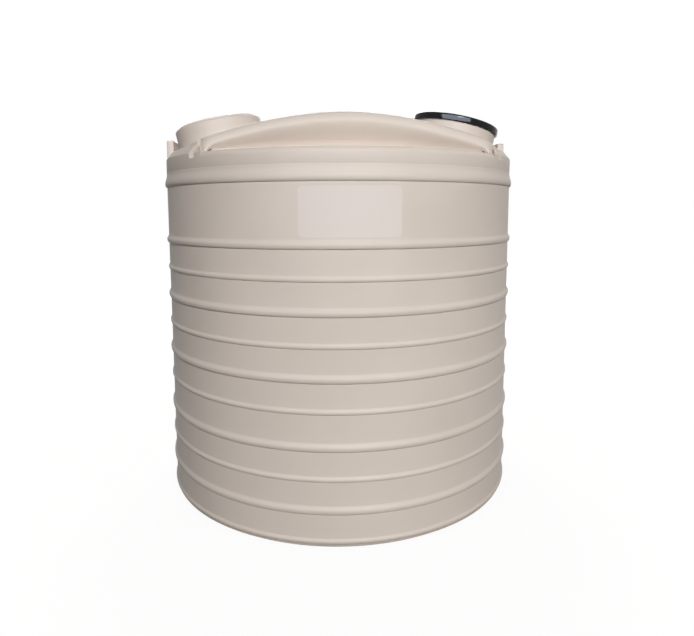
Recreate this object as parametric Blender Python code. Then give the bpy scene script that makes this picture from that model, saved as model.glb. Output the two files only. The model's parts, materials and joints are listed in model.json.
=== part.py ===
"""Upright rotationally moulded water tank with strainer, access lid, outlet valve and overflow.

Frame: metres, +Z up, origin on the tank's axis at its base. The front recess faces -Y and the
two collars lean out at +X (strainer) and -X (access lid). The outlet and overflow are at +Y.
"""
import math

import bmesh
import bpy
from mathutils import Matrix

# Clearances
GAP = 0.0003                  # between faces of neighbouring pieces
SLIDE = 0.0008                # around the valve ball
CUT = 0.050                   # how far a cutter runs past what it cuts
SINK = 0.001                  # how far a joined shape is sunk, so that no faces coincide

# Facets
TANK_SEGMENTS = 36
COLLAR_SEGMENTS = 28
FITTING_SEGMENTS = 16
SMALL_SEGMENTS = 12
SCREW_SEGMENTS = 8
FILLET_STEPS = 3
BRIDGE_COLUMNS = 20
ROUND_STEPS = 3               # facets round each brow and cove
CAVITY_COLUMNS = 14
CAVITY_ROUND_STEPS = 2        # and round each edge of the cavity
CROWN_ROWS = 3                # rows from the crown's middle to each brow

# Tank wall
TANK_RADIUS = 0.900
WALL = 0.008
BASE_CHAMFER = 0.024          # in plan
BASE_CHAMFER_HEIGHT = 0.017
LEDGE_HEIGHT = 1.676          # roof ledge in front of and behind the bridge
LEDGE_FILLET = 0.027
LEDGE_REACH = 0.656           # ledge's ends from the axis, along X
PAD_RISE = 0.032              # wall past the ledge's ends, above the ledge
PAD_FILLET = 0.040

# Ribs: a group up from the base, a group down from the ledge, and one more at the top
BASE_RIB_RISE = 0.019         # first crest above the base chamfer
LOWER_RIB_PITCH = 0.136
LOWER_RIBS = 4
WAIST = 0.153                 # between the two groups' nearest crests
UPPER_RIBS = 6
UPPER_RIB_DROP = 0.393        # upper group's highest crest below the ledge
TOP_RIB_DROP = 0.122
WIDE_RIB = (0.042, 0.0095)    # height and depth
NARROW_RIB = (0.028, 0.0065)
RIB_BELOW = 0.42              # shares of a rib's height: foot, crest and head from the crest line
RIB_ABOVE = 0.58
CREST_BELOW = 0.20
CREST_ABOVE = 0.10
NARROW_CREST_BELOW = 0.16
PARTING_DROP = 0.070
PARTING_WIDTH = 0.006
PARTING_DEPTH = 0.002

# Roof bridge: an arch along X, cut by two upright faces
BRIDGE_RISE = 0.218           # crown above the ledge
BRIDGE_SETBACK = 0.0315       # its round ends inside the tank's radius
BRIDGE_ROOT = 0.060           # how far it runs down into the body
ARCH_DROP = 0.224             # fall from the crown to the tank's radius
ARCH_POWER = 1.85
CROSS_FALL = 0.089            # fall across the bridge at the tank's radius
FACE_SETBACK = 0.306          # each face inside the tank's radius
BROW_HEIGHT = 0.047
BROW_WIDTH = 0.032
COVE = 0.105                  # plan width of the hollow at the foot of each face
COVE_SHARE = 0.62             # its height as a share of the face's
UNDERCUT = 0.026              # hollow of each face under its brow, where the face is a full cove high

# Corner notches and end lugs
NOTCH_ANGLE = 50.5            # degrees from the front, four times
NOTCH_WIDTH = 0.040
NOTCH_DEPTH = 0.042           # into the wall
NOTCH_DROP = 0.026            # its foot below the ledge
LUG_WIDTH = 0.190
LUG_THICKNESS = 0.034
LUG_RISE = 0.074              # above the pad
LUG_SETBACK = 0.005
LUG_EDGE = 0.006

# Collars
COLLAR_SETBACK = 0.2565       # rim's centre inside the tank's radius
COLLAR_STAND = 0.102          # rim's centre above the arch
COLLAR_ROOT = 0.125           # how far the collar runs down below the arch
COLLAR_TILT = 12.0            # degrees outwards
COLLAR_RADIUS = 0.225
COLLAR_EDGE = 0.011
COLLAR_LIP = 0.040            # from the manhole's edge to the collar's outside

# Strainer
RING_OVERHANG = 0.011
RING_SKIRT = 0.014
RING_RISE = 0.026
RING_EDGE = 0.006
RING_CHAMFER = 0.003
RING_FLOOR = 0.012
RING_LAP = 0.0025             # ring's bore inside the manhole's edge
RING_SEAT_WIDTH = 0.0215
BASKET_PLAY = 0.0045          # basket's wall inside the ring's bore
BASKET_FLANGE_PLAY = 0.005
BASKET_DEPTH = 0.150
BASKET_SHEET = 0.0016
BASKET_CORNER = 0.018

# Lid
LID_LAP = 0.021               # lid beyond the manhole's edge
LID_SHEET = 0.005
LID_CROWN = 0.004
LID_CROWN_SLOPE = 0.030
LID_CHAMFER = 0.003
LID_LIP = 0.003               # lid's edge turned down to the collar
LID_PLAY = 0.003              # spigot inside the manhole
LID_SPIGOT_DEPTH = 0.022
SEAL_SHEET = 0.0025
SEAL_WIDTH = 0.008

# Screws in the ring and the lid
SCREWS = 4
SCREW_FACET = 2               # each screw stands in the middle of a facet
SCREW_RADIUS = 0.0025
SCREW_HEAD_RADIUS = 0.0055
SCREW_HEAD_TOP = 0.0044
SCREW_HEAD_HEIGHT = 0.0035

# Wall fittings: outlet low down, overflow high up, both at +Y
BOSS_PROUD = 0.012
BOSS_THICKNESS = 0.017
FLANGE_THICKNESS = 0.006
FLANGE_PLAY = 0.004           # flange inside its seat
RUBBER_THICKNESS = 0.003
OUTLET_HEIGHT = 0.105
OUTLET_BORE = 0.0160
OUTLET_TAIL_WALL = 0.0050
OUTLET_FLANGE_WIDTH = 0.013
BACK_NUT_WALL = 0.009
BACK_NUT_THICKNESS = 0.014
OVERFLOW_DROP = 0.221         # its axis below the ledge
OVERFLOW_BORE = 0.0415
OVERFLOW_TAIL_WALL = 0.0035
OVERFLOW_FLANGE_WIDTH = 0.017
OVERFLOW_REACH = 0.085
OVERFLOW_NUT_WIDTH = 0.021
OVERFLOW_NUT_THICKNESS = 0.018
SCREEN_RIM = 0.0032
SCREEN_SKIRT = 0.018
SCREEN_SHEET = 0.0015
SCREEN_LIP = 0.003

# Ball valve
VALVE_OFFSET = 0.005          # valve body clear of the back nut
SOCKET_DEPTH = 0.018
SOCKET_WALL = 0.006
SOCKET_SHOULDER = 0.0055      # between the socket's floor and the ball's chamber
HEXAGON_INSET = 0.0030        # each hexagon's ends inside its collar
BALL_MARGIN = 0.0075          # ball's radius beyond its bore
BALL_STEPS = 8
SEAT_THICKNESS = 0.005
VALVE_SHELL = 0.0065
BELLY_HALF_LENGTH = 0.013
BELLY_TAPER = 0.0015
END_CAP_SPIGOT = 0.009
END_CAP_LENGTH = 0.028
STEM_RADIUS = 0.0065
TANG_SETBACK = 0.0010         # tang's edges inside the stem
TANG_THICKNESS = 0.0060
TANG_DEPTH = 0.0055
SQUARE_SETBACK = 0.00225
THREAD_SETBACK = 0.00065
PACKING_WALL = 0.0035
PACKING_HEIGHT = 0.006
PACKING_DEPTH = 0.012
NECK_WALL = 0.0035
NECK_RISE = 0.0217            # neck above the ball's chamber
PACKING_NUT_STEP = 0.0015
PACKING_NUT_HEAD = 0.006
LEVER_SHEET = 0.003
LEVER_WIDTH = 0.020
LEVER_HEEL = 0.014
LEVER_REACH = 0.155
LEVER_STEP = 0.014
LEVER_STEP_START = 0.026
LEVER_STEP_RUN = 0.018
GRIP_START = 0.016            # beyond the lever's step
GRIP_SHEET = 0.002
GRIP_EDGE = 0.0018
LEVER_NUT_WALL = 0.0029
LEVER_NUT_HEIGHT = 0.0065

# Worked out from the sizes above
BRIDGE_TOP = LEDGE_HEIGHT + BRIDGE_RISE
BRIDGE_RADIUS = TANK_RADIUS - BRIDGE_SETBACK
FACE_DISTANCE = TANK_RADIUS - FACE_SETBACK
PAD_HEIGHT = LEDGE_HEIGHT + PAD_RISE
COLLAR_DISTANCE = TANK_RADIUS - COLLAR_SETBACK
MANHOLE_RADIUS = COLLAR_RADIUS - COLLAR_LIP
OUTLET_TAIL_RADIUS = OUTLET_BORE + OUTLET_TAIL_WALL
OUTLET_FLANGE_RADIUS = OUTLET_TAIL_RADIUS + OUTLET_FLANGE_WIDTH
OVERFLOW_HEIGHT = LEDGE_HEIGHT - OVERFLOW_DROP
OVERFLOW_TAIL_RADIUS = OVERFLOW_BORE + OVERFLOW_TAIL_WALL
OVERFLOW_FLANGE_RADIUS = OVERFLOW_TAIL_RADIUS + OVERFLOW_FLANGE_WIDTH
BOSS_FACE = TANK_RADIUS + BOSS_PROUD
BOSS_INSIDE = BOSS_FACE - BOSS_THICKNESS
BALL_RADIUS = OUTLET_BORE + BALL_MARGIN
CHAMBER_RADIUS = BALL_RADIUS + SLIDE
STEM_SQUARE = 2 * (STEM_RADIUS - SQUARE_SETBACK)
THREAD_RADIUS = STEM_SQUARE / 2 - THREAD_SETBACK
PACKING_RADIUS = STEM_RADIUS + PACKING_WALL
NECK_RADIUS = PACKING_RADIUS + NECK_WALL
NECK_HEIGHT = CHAMBER_RADIUS + NECK_RISE
PACKING_SEAT = NECK_HEIGHT - PACKING_DEPTH

# Materials: colour, roughness, metallic
FINISHES = {
    "beige_polyethylene": ((0.66, 0.58, 0.50), 0.45, 0.0),
    "black_plastic": ((0.012, 0.013, 0.015), 0.12, 0.0),
    "stainless": ((0.62, 0.62, 0.61), 0.30, 1.0),
    "brass": ((0.72, 0.52, 0.25), 0.32, 1.0),
    "chrome": ((0.80, 0.80, 0.82), 0.10, 1.0),
    "white_ptfe": ((0.86, 0.86, 0.84), 0.40, 0.0),
    "black_rubber": ((0.02, 0.02, 0.02), 0.75, 0.0),
    "white_pvc": ((0.82, 0.82, 0.80), 0.35, 0.0),
    "red_vinyl": ((0.55, 0.03, 0.02), 0.40, 0.0),
}
SHARP_ANGLE = 32.0            # degrees


def finish(name):
    """The named material, made once."""
    if name in bpy.data.materials:
        return bpy.data.materials[name]
    colour, roughness, metallic = FINISHES[name]
    made = bpy.data.materials.new(name)
    made.use_nodes = True
    shader = made.node_tree.nodes["Principled BSDF"]
    shader.inputs["Base Color"].default_value = (*colour, 1.0)
    shader.inputs["Roughness"].default_value = roughness
    shader.inputs["Metallic"].default_value = metallic
    return made


def add_object(name, shape, finish_name=None, parent=None):
    """An object from a bmesh. Without a finish it is a hidden cutter."""
    mesh = bpy.data.meshes.new(name)
    bmesh.ops.recalc_face_normals(shape, faces=shape.faces)
    shape.to_mesh(mesh)
    shape.free()
    made = bpy.data.objects.new(name, mesh)
    bpy.context.scene.collection.objects.link(made)
    made.parent = parent
    if finish_name is None:
        made.hide_render = True
        made.display_type = "WIRE"
    else:
        mesh.materials.append(finish(finish_name))
        mesh.shade_smooth()
        mesh.set_sharp_from_angle(angle=math.radians(SHARP_ANGLE))
    return made


def add_frame(name, location, rotation=(0, 0, 0)):
    """An empty that places a group of pieces."""
    frame = bpy.data.objects.new(name, None)
    bpy.context.scene.collection.objects.link(frame)
    frame.location = location
    frame.rotation_euler = rotation
    return frame


def combine(target, other, operation):
    """A live Boolean modifier on target."""
    modifier = target.modifiers.new(other.name, "BOOLEAN")
    modifier.operation = operation
    modifier.solver = "EXACT"
    modifier.object = other
    return target


def join(target, name, shape, parent=None):
    return combine(target, add_object(name, shape, parent=parent), "UNION")


def cut(target, name, shape, parent=None):
    return combine(target, add_object(name, shape, parent=parent), "DIFFERENCE")


def ring_points(radius, segments):
    """Corners of a regular ring in plan, half a step off the planes through the axis."""
    angles = [math.tau * (step + 0.5) / segments for step in range(segments)]
    return [(radius * math.sin(angle), -radius * math.cos(angle)) for angle in angles]


def turned(profile, segments=FITTING_SEGMENTS, closed=True):
    """Spin (radius, height) points about Z. A radius of 0 is a pole.

    A closed profile is a ring's section. An open one gets flat ends.
    """
    shape = bmesh.new()
    rings = []
    for radius, height in profile:
        places = ring_points(radius, segments) if radius > 0 else [(0, 0)]
        rings.append([shape.verts.new((x, y, height)) for x, y in places])
    pairs = list(zip(rings, rings[1:]))
    if closed:
        pairs.append((rings[-1], rings[0]))
    else:
        for ring in (rings[0], rings[-1]):
            if len(ring) > 1:
                shape.faces.new(ring)
    for low, high in pairs:
        for step in range(segments):
            after = (step + 1) % segments
            corners = [low[step % len(low)], low[after % len(low)],
                       high[after % len(high)], high[step % len(high)]]
            face = list(dict.fromkeys(corners))
            if len(face) > 2:
                shape.faces.new(face)
    return shape


def cylinder(radius, low, high, segments=FITTING_SEGMENTS):
    return turned([(radius, low), (radius, high)], segments, closed=False)


def prism(outline, low, high):
    """Extrude a list of (x, y) points from low to high along Z."""
    shape = bmesh.new()
    foot = [shape.verts.new((x, y, low)) for x, y in outline]
    head = [shape.verts.new((x, y, high)) for x, y in outline]
    shape.faces.new(foot[::-1])
    shape.faces.new(head)
    for step in range(len(outline)):
        after = (step + 1) % len(outline)
        shape.faces.new((foot[step], foot[after], head[after], head[step]))
    return shape


def block(low, high):
    outline = [(low[0], low[1]), (high[0], low[1]), (high[0], high[1]), (low[0], high[1])]
    return prism(outline, low[2], high[2])


def hexagon(flats):
    corner = flats / math.sqrt(3)
    angles = [math.radians(60 * side) for side in range(6)]
    return [(corner * math.cos(angle), corner * math.sin(angle)) for angle in angles]


def moved(shape, matrix):
    bmesh.ops.transform(shape, matrix=matrix, verts=shape.verts)
    return shape


def arc(centre, radius, first, last, steps=FILLET_STEPS):
    """Points of an arc in a (radius, height) outline, angles in degrees from +radius."""
    angles = [math.radians(first + (last - first) * step / steps) for step in range(steps + 1)]
    return [(centre[0] + radius * math.cos(a), centre[1] + radius * math.sin(a)) for a in angles]


def round_steps(inset):
    return CAVITY_ROUND_STEPS if inset else ROUND_STEPS


def rib_places():
    """Every rib's crest height and size, from the base up. Narrow and wide ribs alternate."""
    lowest = BASE_CHAMFER_HEIGHT + BASE_RIB_RISE
    heights = [lowest + LOWER_RIB_PITCH * step for step in range(LOWER_RIBS)]
    first = heights[-1] + WAIST
    last = LEDGE_HEIGHT - UPPER_RIB_DROP
    heights += [first + (last - first) * step / (UPPER_RIBS - 1) for step in range(UPPER_RIBS)]
    places = [(height, (NARROW_RIB, WIDE_RIB)[count % 2]) for count, height in enumerate(heights)]
    return places + [(LEDGE_HEIGHT - TOP_RIB_DROP, WIDE_RIB)]


def wall_profile(inset):
    """Outline of the ribbed body from its base to the flat pads, moved in by inset.

    The inside follows the wide ribs. The narrow ones fill solid in the mould.
    """
    radius = TANK_RADIUS - inset
    top = PAD_HEIGHT - inset
    points = [(radius - BASE_CHAMFER, inset), (radius, BASE_CHAMFER_HEIGHT + inset)]
    for height, rib in rib_places():
        tall, deep = rib
        if inset and rib is NARROW_RIB:
            continue
        points.append((radius, height - RIB_BELOW * tall))
        if inset or rib is NARROW_RIB:
            points.append((radius + deep, height - NARROW_CREST_BELOW * tall))
        else:
            points.append((radius + deep, height - CREST_BELOW * tall))
            points.append((radius + deep, height + CREST_ABOVE * tall))
        points.append((radius, height + RIB_ABOVE * tall))
    if not inset:
        parting = LEDGE_HEIGHT - PARTING_DROP
        points.append((radius, parting - PARTING_WIDTH / 2))
        points.append((radius - PARTING_DEPTH, parting))
        points.append((radius, parting + PARTING_WIDTH / 2))
    return points + arc((radius - PAD_FILLET, top - PAD_FILLET), PAD_FILLET, 0, 90, round_steps(inset))


def ledge_cutter(inset):
    """The recesses above the ledge, before and behind the bridge."""
    radius = TANK_RADIUS - inset
    level = LEDGE_HEIGHT - inset
    foot = level - LEDGE_FILLET
    clear = TANK_RADIUS + CUT
    high = BRIDGE_TOP + CUT
    outline = [(0, high), (clear, high), (clear, foot)]
    outline += arc((radius - LEDGE_FILLET, foot), LEDGE_FILLET, 0, 90, round_steps(inset)) + [(0, level)]
    cutter = add_object(f"ledge_cut_{inset}", turned(outline, TANK_SEGMENTS, closed=False))
    reach = LEDGE_REACH + inset
    span = block((-reach, -clear - CUT, foot - CUT), (reach, clear + CUT, high + CUT))
    return combine(cutter, add_object(f"ledge_span_{inset}", span), "INTERSECT")


def bridge_height(x, y):
    """Top of the bridge before its edges are rounded."""
    along = ARCH_DROP * (abs(x) / TANK_RADIUS) ** ARCH_POWER
    across = CROSS_FALL * (y / TANK_RADIUS) ** 2
    return BRIDGE_TOP - along - across


def brow_drop(inside):
    """How far the rounded brow has fallen at a place this far inside the edge."""
    reach = min(max(1 - inside / BROW_WIDTH, 0), 1)
    return BROW_HEIGHT * (1 - math.sqrt(1 - reach * reach))


def face_rows(steps):
    """Rows from the ledge to the crown's middle as (distance from the axis, share).

    The share runs from 0 at the ledge to 1 at the brow's foot and 2 on the bridge's top.
    """
    angles = [math.radians(90 * step / steps) for step in range(steps + 1)]
    cove = [(FACE_DISTANCE + COVE * (1 - math.sin(a)), COVE_SHARE * (1 - math.cos(a))) for a in angles]
    brow = [(FACE_DISTANCE - BROW_WIDTH * (1 - math.cos(a)), 1 + math.sin(a)) for a in angles]
    crown = [(FACE_DISTANCE * row / CROWN_ROWS, 2) for row in range(CROWN_ROWS - 1, -1, -1)]
    return cove + brow + crown


def undercut(share, height):
    """How far a face stands back under its brow, at a share of its height there."""
    return UNDERCUT * math.sin(math.pi * min(share, 1)) * min(height / COVE, 1)


def bridge_shape(inset):
    """The arched bridge with its rounded brows and hollow faces, as a closed loft."""
    radius = BRIDGE_RADIUS - inset
    columns = CAVITY_COLUMNS if inset else BRIDGE_COLUMNS
    half = face_rows(round_steps(inset))
    rows = [(-distance, share) for distance, share in half] + half[-2::-1]
    level = LEDGE_HEIGHT - inset - SINK
    foot = LEDGE_HEIGHT - inset - BRIDGE_ROOT
    places = [math.sin(math.pi * (step / columns - 0.5)) for step in range(columns + 1)]
    shape = bmesh.new()
    top, bottom = [], []
    for distance, share in rows:
        y = distance - math.copysign(inset, distance) if distance else 0.0
        reach = math.sqrt(radius * radius - y * y)
        line, skirt = [], []
        for x in [place * reach for place in places]:
            crown = bridge_height(x, y) - brow_drop(radius - math.hypot(x, y)) - inset
            brow = max(crown - BROW_HEIGHT, level)
            if share <= 1:
                z = level + (brow - level) * share
            else:
                z = brow + (crown - brow) * (share - 1)
            back = y - math.copysign(undercut(share, brow - level), y)
            line.append(shape.verts.new((x, back, max(z, level))))
            skirt.append(shape.verts.new((x, y, foot)))
        top.append(line)
        bottom.append(skirt)
    for sheet in (top, bottom):
        for near, far in zip(sheet, sheet[1:]):
            for step in range(columns):
                shape.faces.new((near[step], near[step + 1], far[step + 1], far[step]))
    ends = [[(line[end], skirt[end]) for line, skirt in zip(top, bottom)] for end in (0, -1)]
    sides = [list(zip(top[row], bottom[row])) for row in (0, -1)]
    for edge in ends + sides:
        for (upper, lower), (next_upper, next_lower) in zip(edge, edge[1:]):
            shape.faces.new((upper, next_upper, next_lower, lower))
    bmesh.ops.triangulate(shape, faces=shape.faces)
    return shape


def collar_rim():
    """Where a collar's rim is centred, as (distance from the axis, height)."""
    return COLLAR_DISTANCE, bridge_height(COLLAR_DISTANCE, 0) + COLLAR_STAND


def collar_matrix(side):
    """Frame of a collar's rim: local Z along its axis, side is +1 or -1."""
    distance, height = collar_rim()
    tilt = Matrix.Rotation(side * math.radians(COLLAR_TILT), 4, "Y")
    return Matrix.Translation((side * distance, 0, height)) @ tilt


def collar_shape(side, inset):
    radius = COLLAR_RADIUS - inset
    edge = COLLAR_EDGE - inset / 2
    outline = [(radius, -COLLAR_STAND - COLLAR_ROOT)]
    outline += arc((radius - edge, -inset - edge), edge, 0, 90, round_steps(inset))
    return moved(turned(outline, COLLAR_SEGMENTS, closed=False), collar_matrix(side))


def notch_shape(angle, margin):
    """Upright slot in the wall's top edge at a corner of the bridge, grown by margin."""
    half = NOTCH_WIDTH / 2 + margin
    shape = block((-half, -TANK_RADIUS - CUT, LEDGE_HEIGHT - NOTCH_DROP - margin),
                  (half, -TANK_RADIUS + NOTCH_DEPTH + margin, PAD_HEIGHT + CUT))
    return moved(shape, Matrix.Rotation(math.radians(angle), 4, "Z"))


def tank_form(name, inset, finish_name=None):
    """The whole moulded form, moved in by inset: the outside at 0 and the cavity at WALL."""
    form = add_object(name, turned(wall_profile(inset), TANK_SEGMENTS, closed=False), finish_name)
    combine(form, ledge_cutter(inset), "DIFFERENCE")
    join(form, f"bridge_{inset}", bridge_shape(inset))
    for side, label in ((1, "right"), (-1, "left")):
        join(form, f"{label}_collar_{inset}", collar_shape(side, inset))
    for angle in (NOTCH_ANGLE, -NOTCH_ANGLE, 180 - NOTCH_ANGLE, 180 + NOTCH_ANGLE):
        cut(form, f"notch_{angle:.0f}_{inset}", notch_shape(angle, inset))
    return form


def lug_shape(side):
    """Upright lug at the end of the bridge, its outer face just inside the wall."""
    outer = TANK_RADIUS - LUG_SETBACK
    half = LUG_WIDTH / 2
    ends = (side * (outer - LUG_THICKNESS), side * outer)
    shape = block((min(ends), -half, PAD_HEIGHT - PAD_RISE), (max(ends), half, PAD_HEIGHT + LUG_RISE))
    edges = [edge for edge in shape.edges if min(corner.co.z for corner in edge.verts) > PAD_HEIGHT]
    bmesh.ops.bevel(shape, geom=edges, offset=LUG_EDGE, segments=2, affect="EDGES", profile=0.5)
    return shape


def fitting_matrix(height):
    """Local Z points out through the back wall."""
    return Matrix.Translation((0, 0, height)) @ Matrix.Rotation(math.radians(-90), 4, "X")


def make_shell():
    """The one-piece moulded tank."""
    shell = tank_form("tank_shell", 0.0, "beige_polyethylene")
    for side, label in ((1, "right"), (-1, "left")):
        join(shell, f"{label}_lug", lug_shape(side))
    fittings = (("outlet", OUTLET_HEIGHT, OUTLET_TAIL_RADIUS, OUTLET_FLANGE_RADIUS + FLANGE_PLAY),
                ("overflow", OVERFLOW_HEIGHT, OVERFLOW_TAIL_RADIUS, OVERFLOW_FLANGE_RADIUS + FLANGE_PLAY))
    inside = TANK_RADIUS - CUT
    for label, height, _, seat in fittings:
        join(shell, f"{label}_boss", moved(cylinder(seat + WALL, inside, BOSS_FACE), fitting_matrix(height)))
    combine(shell, tank_form("cavity", WALL), "DIFFERENCE")
    for label, height, tail, seat in fittings:
        cut(shell, f"{label}_seat", moved(cylinder(seat, inside, BOSS_INSIDE), fitting_matrix(height)))
        hole = cylinder(tail + GAP, inside - CUT, BOSS_FACE + CUT)
        cut(shell, f"{label}_hole", moved(hole, fitting_matrix(height)))
    for side, label in ((1, "right"), (-1, "left")):
        hole = cylinder(MANHOLE_RADIUS, -CUT, CUT, COLLAR_SEGMENTS)
        cut(shell, f"{label}_manhole", moved(hole, collar_matrix(side)))


def screw_places(circle):
    """Screw centres on a circle, each in the middle of one of the collar's facets."""
    first = math.tau * SCREW_FACET / COLLAR_SEGMENTS
    angles = [first + math.tau * step / SCREWS for step in range(SCREWS)]
    return [(circle * math.cos(angle), circle * math.sin(angle)) for angle in angles]


def fasten(target, name, circle, seat, parent):
    """Screws through target, each its own piece, whose heads rest on seat."""
    under = seat + GAP
    outline = [(SCREW_RADIUS, 2 * GAP), (SCREW_RADIUS, under), (SCREW_HEAD_RADIUS, under),
               (SCREW_HEAD_TOP, under + SCREW_HEAD_HEIGHT)]
    for number, (x, y) in enumerate(screw_places(circle), 1):
        hole = moved(cylinder(SCREW_RADIUS + GAP, -CUT, CUT, SCREW_SEGMENTS), Matrix.Translation((x, y, 0)))
        cut(target, f"{name}_hole_{number}", hole, parent)
        screw = turned(outline, SCREW_SEGMENTS, closed=False)
        add_object(f"{name}_{number}", screw, "stainless", parent).location = (x, y, 0)


def make_strainer(frame):
    """Black ring over the right collar with its mesh basket and screws."""
    bore = COLLAR_RADIUS + 2 * GAP
    outer = COLLAR_RADIUS + RING_OVERHANG
    throat = MANHOLE_RADIUS - RING_LAP
    seat = throat + RING_SEAT_WIDTH
    outline = [(bore, -RING_SKIRT), (outer - RING_CHAMFER, -RING_SKIRT), (outer, RING_CHAMFER - RING_SKIRT)]
    outline += arc((outer - RING_EDGE, RING_RISE - RING_EDGE), RING_EDGE, 0, 90)
    outline += [(seat + RING_CHAMFER, RING_RISE), (seat, RING_RISE - RING_CHAMFER), (seat, RING_FLOOR),
                (throat, RING_FLOOR), (throat, GAP), (bore, GAP)]
    ring = add_object("strainer_ring", turned(outline, COLLAR_SEGMENTS), "black_plastic", frame)
    fasten(ring, "strainer_screw", (seat + COLLAR_RADIUS) / 2, RING_RISE, frame)

    rest = RING_FLOOR + GAP
    wall = throat - BASKET_PLAY
    flange = seat - BASKET_FLANGE_PLAY
    inside = wall - BASKET_SHEET
    floor = rest - BASKET_DEPTH
    corner = (inside - BASKET_CORNER, floor + BASKET_CORNER + BASKET_SHEET)
    outline = [(wall, rest), (flange, rest), (flange, rest + BASKET_SHEET), (inside, rest + BASKET_SHEET)]
    outline += arc(corner, BASKET_CORNER, 0, -90, 2) + [(0, floor + BASKET_SHEET), (0, floor)]
    outline += arc(corner, BASKET_CORNER + BASKET_SHEET, -90, 0, 2)
    add_object("strainer_basket", turned(outline, COLLAR_SEGMENTS), "stainless", frame)


def make_lid(frame):
    """Access lid on a foam seal, its lip just inside the left collar's rounded edge."""
    washer("lid_seal", MANHOLE_RADIUS, MANHOLE_RADIUS + SEAL_WIDTH, GAP, GAP + SEAL_SHEET, "black_rubber",
           frame, COLLAR_SEGMENTS)
    low = SEAL_SHEET + 2 * GAP
    top = low + LID_SHEET
    radius = MANHOLE_RADIUS + LID_LAP
    spigot = MANHOLE_RADIUS - LID_PLAY
    outline = [(spigot - LID_SHEET, low), (spigot - LID_SHEET, low - LID_SPIGOT_DEPTH),
               (spigot, low - LID_SPIGOT_DEPTH), (spigot, low), (radius - LID_LIP, low),
               (radius - LID_LIP, GAP), (radius, GAP), (radius, top - LID_CHAMFER),
               (radius - LID_CHAMFER, top), (MANHOLE_RADIUS, top),
               (MANHOLE_RADIUS - LID_CROWN_SLOPE, top + LID_CROWN)]
    lid = add_object("access_lid", turned(outline, COLLAR_SEGMENTS, closed=False), "beige_polyethylene", frame)
    fasten(lid, "lid_screw", MANHOLE_RADIUS + (SEAL_WIDTH + LID_LAP) / 2, top, frame)


def washer(name, inner, outer, low, high, finish_name, frame, segments=FITTING_SEGMENTS):
    outline = [(inner, low), (outer, low), (outer, high), (inner, high)]
    return add_object(name, turned(outline, segments), finish_name, frame)


def hex_nut(name, flats, bore, low, high, finish_name, frame):
    """A hexagonal nut along the frame's Z."""
    nut = add_object(name, prism(hexagon(flats), low, high), finish_name, frame)
    return cut(nut, f"{name}_bore", cylinder(bore, low - CUT, high + CUT), frame)


def clamp_fitting(name, bore, tail, flange, end, finish_name, frame):
    """A flanged tube and its inside seal, put through a boss from inside the tank."""
    seal = BOSS_INSIDE - GAP - RUBBER_THICKNESS
    shoulder = seal - GAP
    washer(f"{name}_inner_seal", tail + GAP, flange, seal, BOSS_INSIDE - GAP, "black_rubber", frame)
    outline = [(bore, shoulder - FLANGE_THICKNESS), (flange, shoulder - FLANGE_THICKNESS), (flange, shoulder),
               (tail, shoulder), (tail, end), (bore, end)]
    add_object(f"{name}_tail", turned(outline), finish_name, frame)


def make_outlet(frame):
    """Brass tail clamped through the low boss. Returns where the valve body starts."""
    seal = BOSS_FACE + GAP
    nut = seal + RUBBER_THICKNESS + GAP
    valve = nut + BACK_NUT_THICKNESS + VALVE_OFFSET
    clamp_fitting("outlet", OUTLET_BORE, OUTLET_TAIL_RADIUS, OUTLET_FLANGE_RADIUS,
                  valve + SOCKET_DEPTH - GAP, "brass", frame)
    bore = OUTLET_TAIL_RADIUS + GAP
    washer("outlet_outer_seal", bore, OUTLET_FLANGE_RADIUS, seal, seal + RUBBER_THICKNESS,
           "black_rubber", frame)
    flats = 2 * (OUTLET_TAIL_RADIUS + BACK_NUT_WALL)
    hex_nut("outlet_back_nut", flats, bore, nut, nut + BACK_NUT_THICKNESS, "brass", frame)
    return valve


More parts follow.
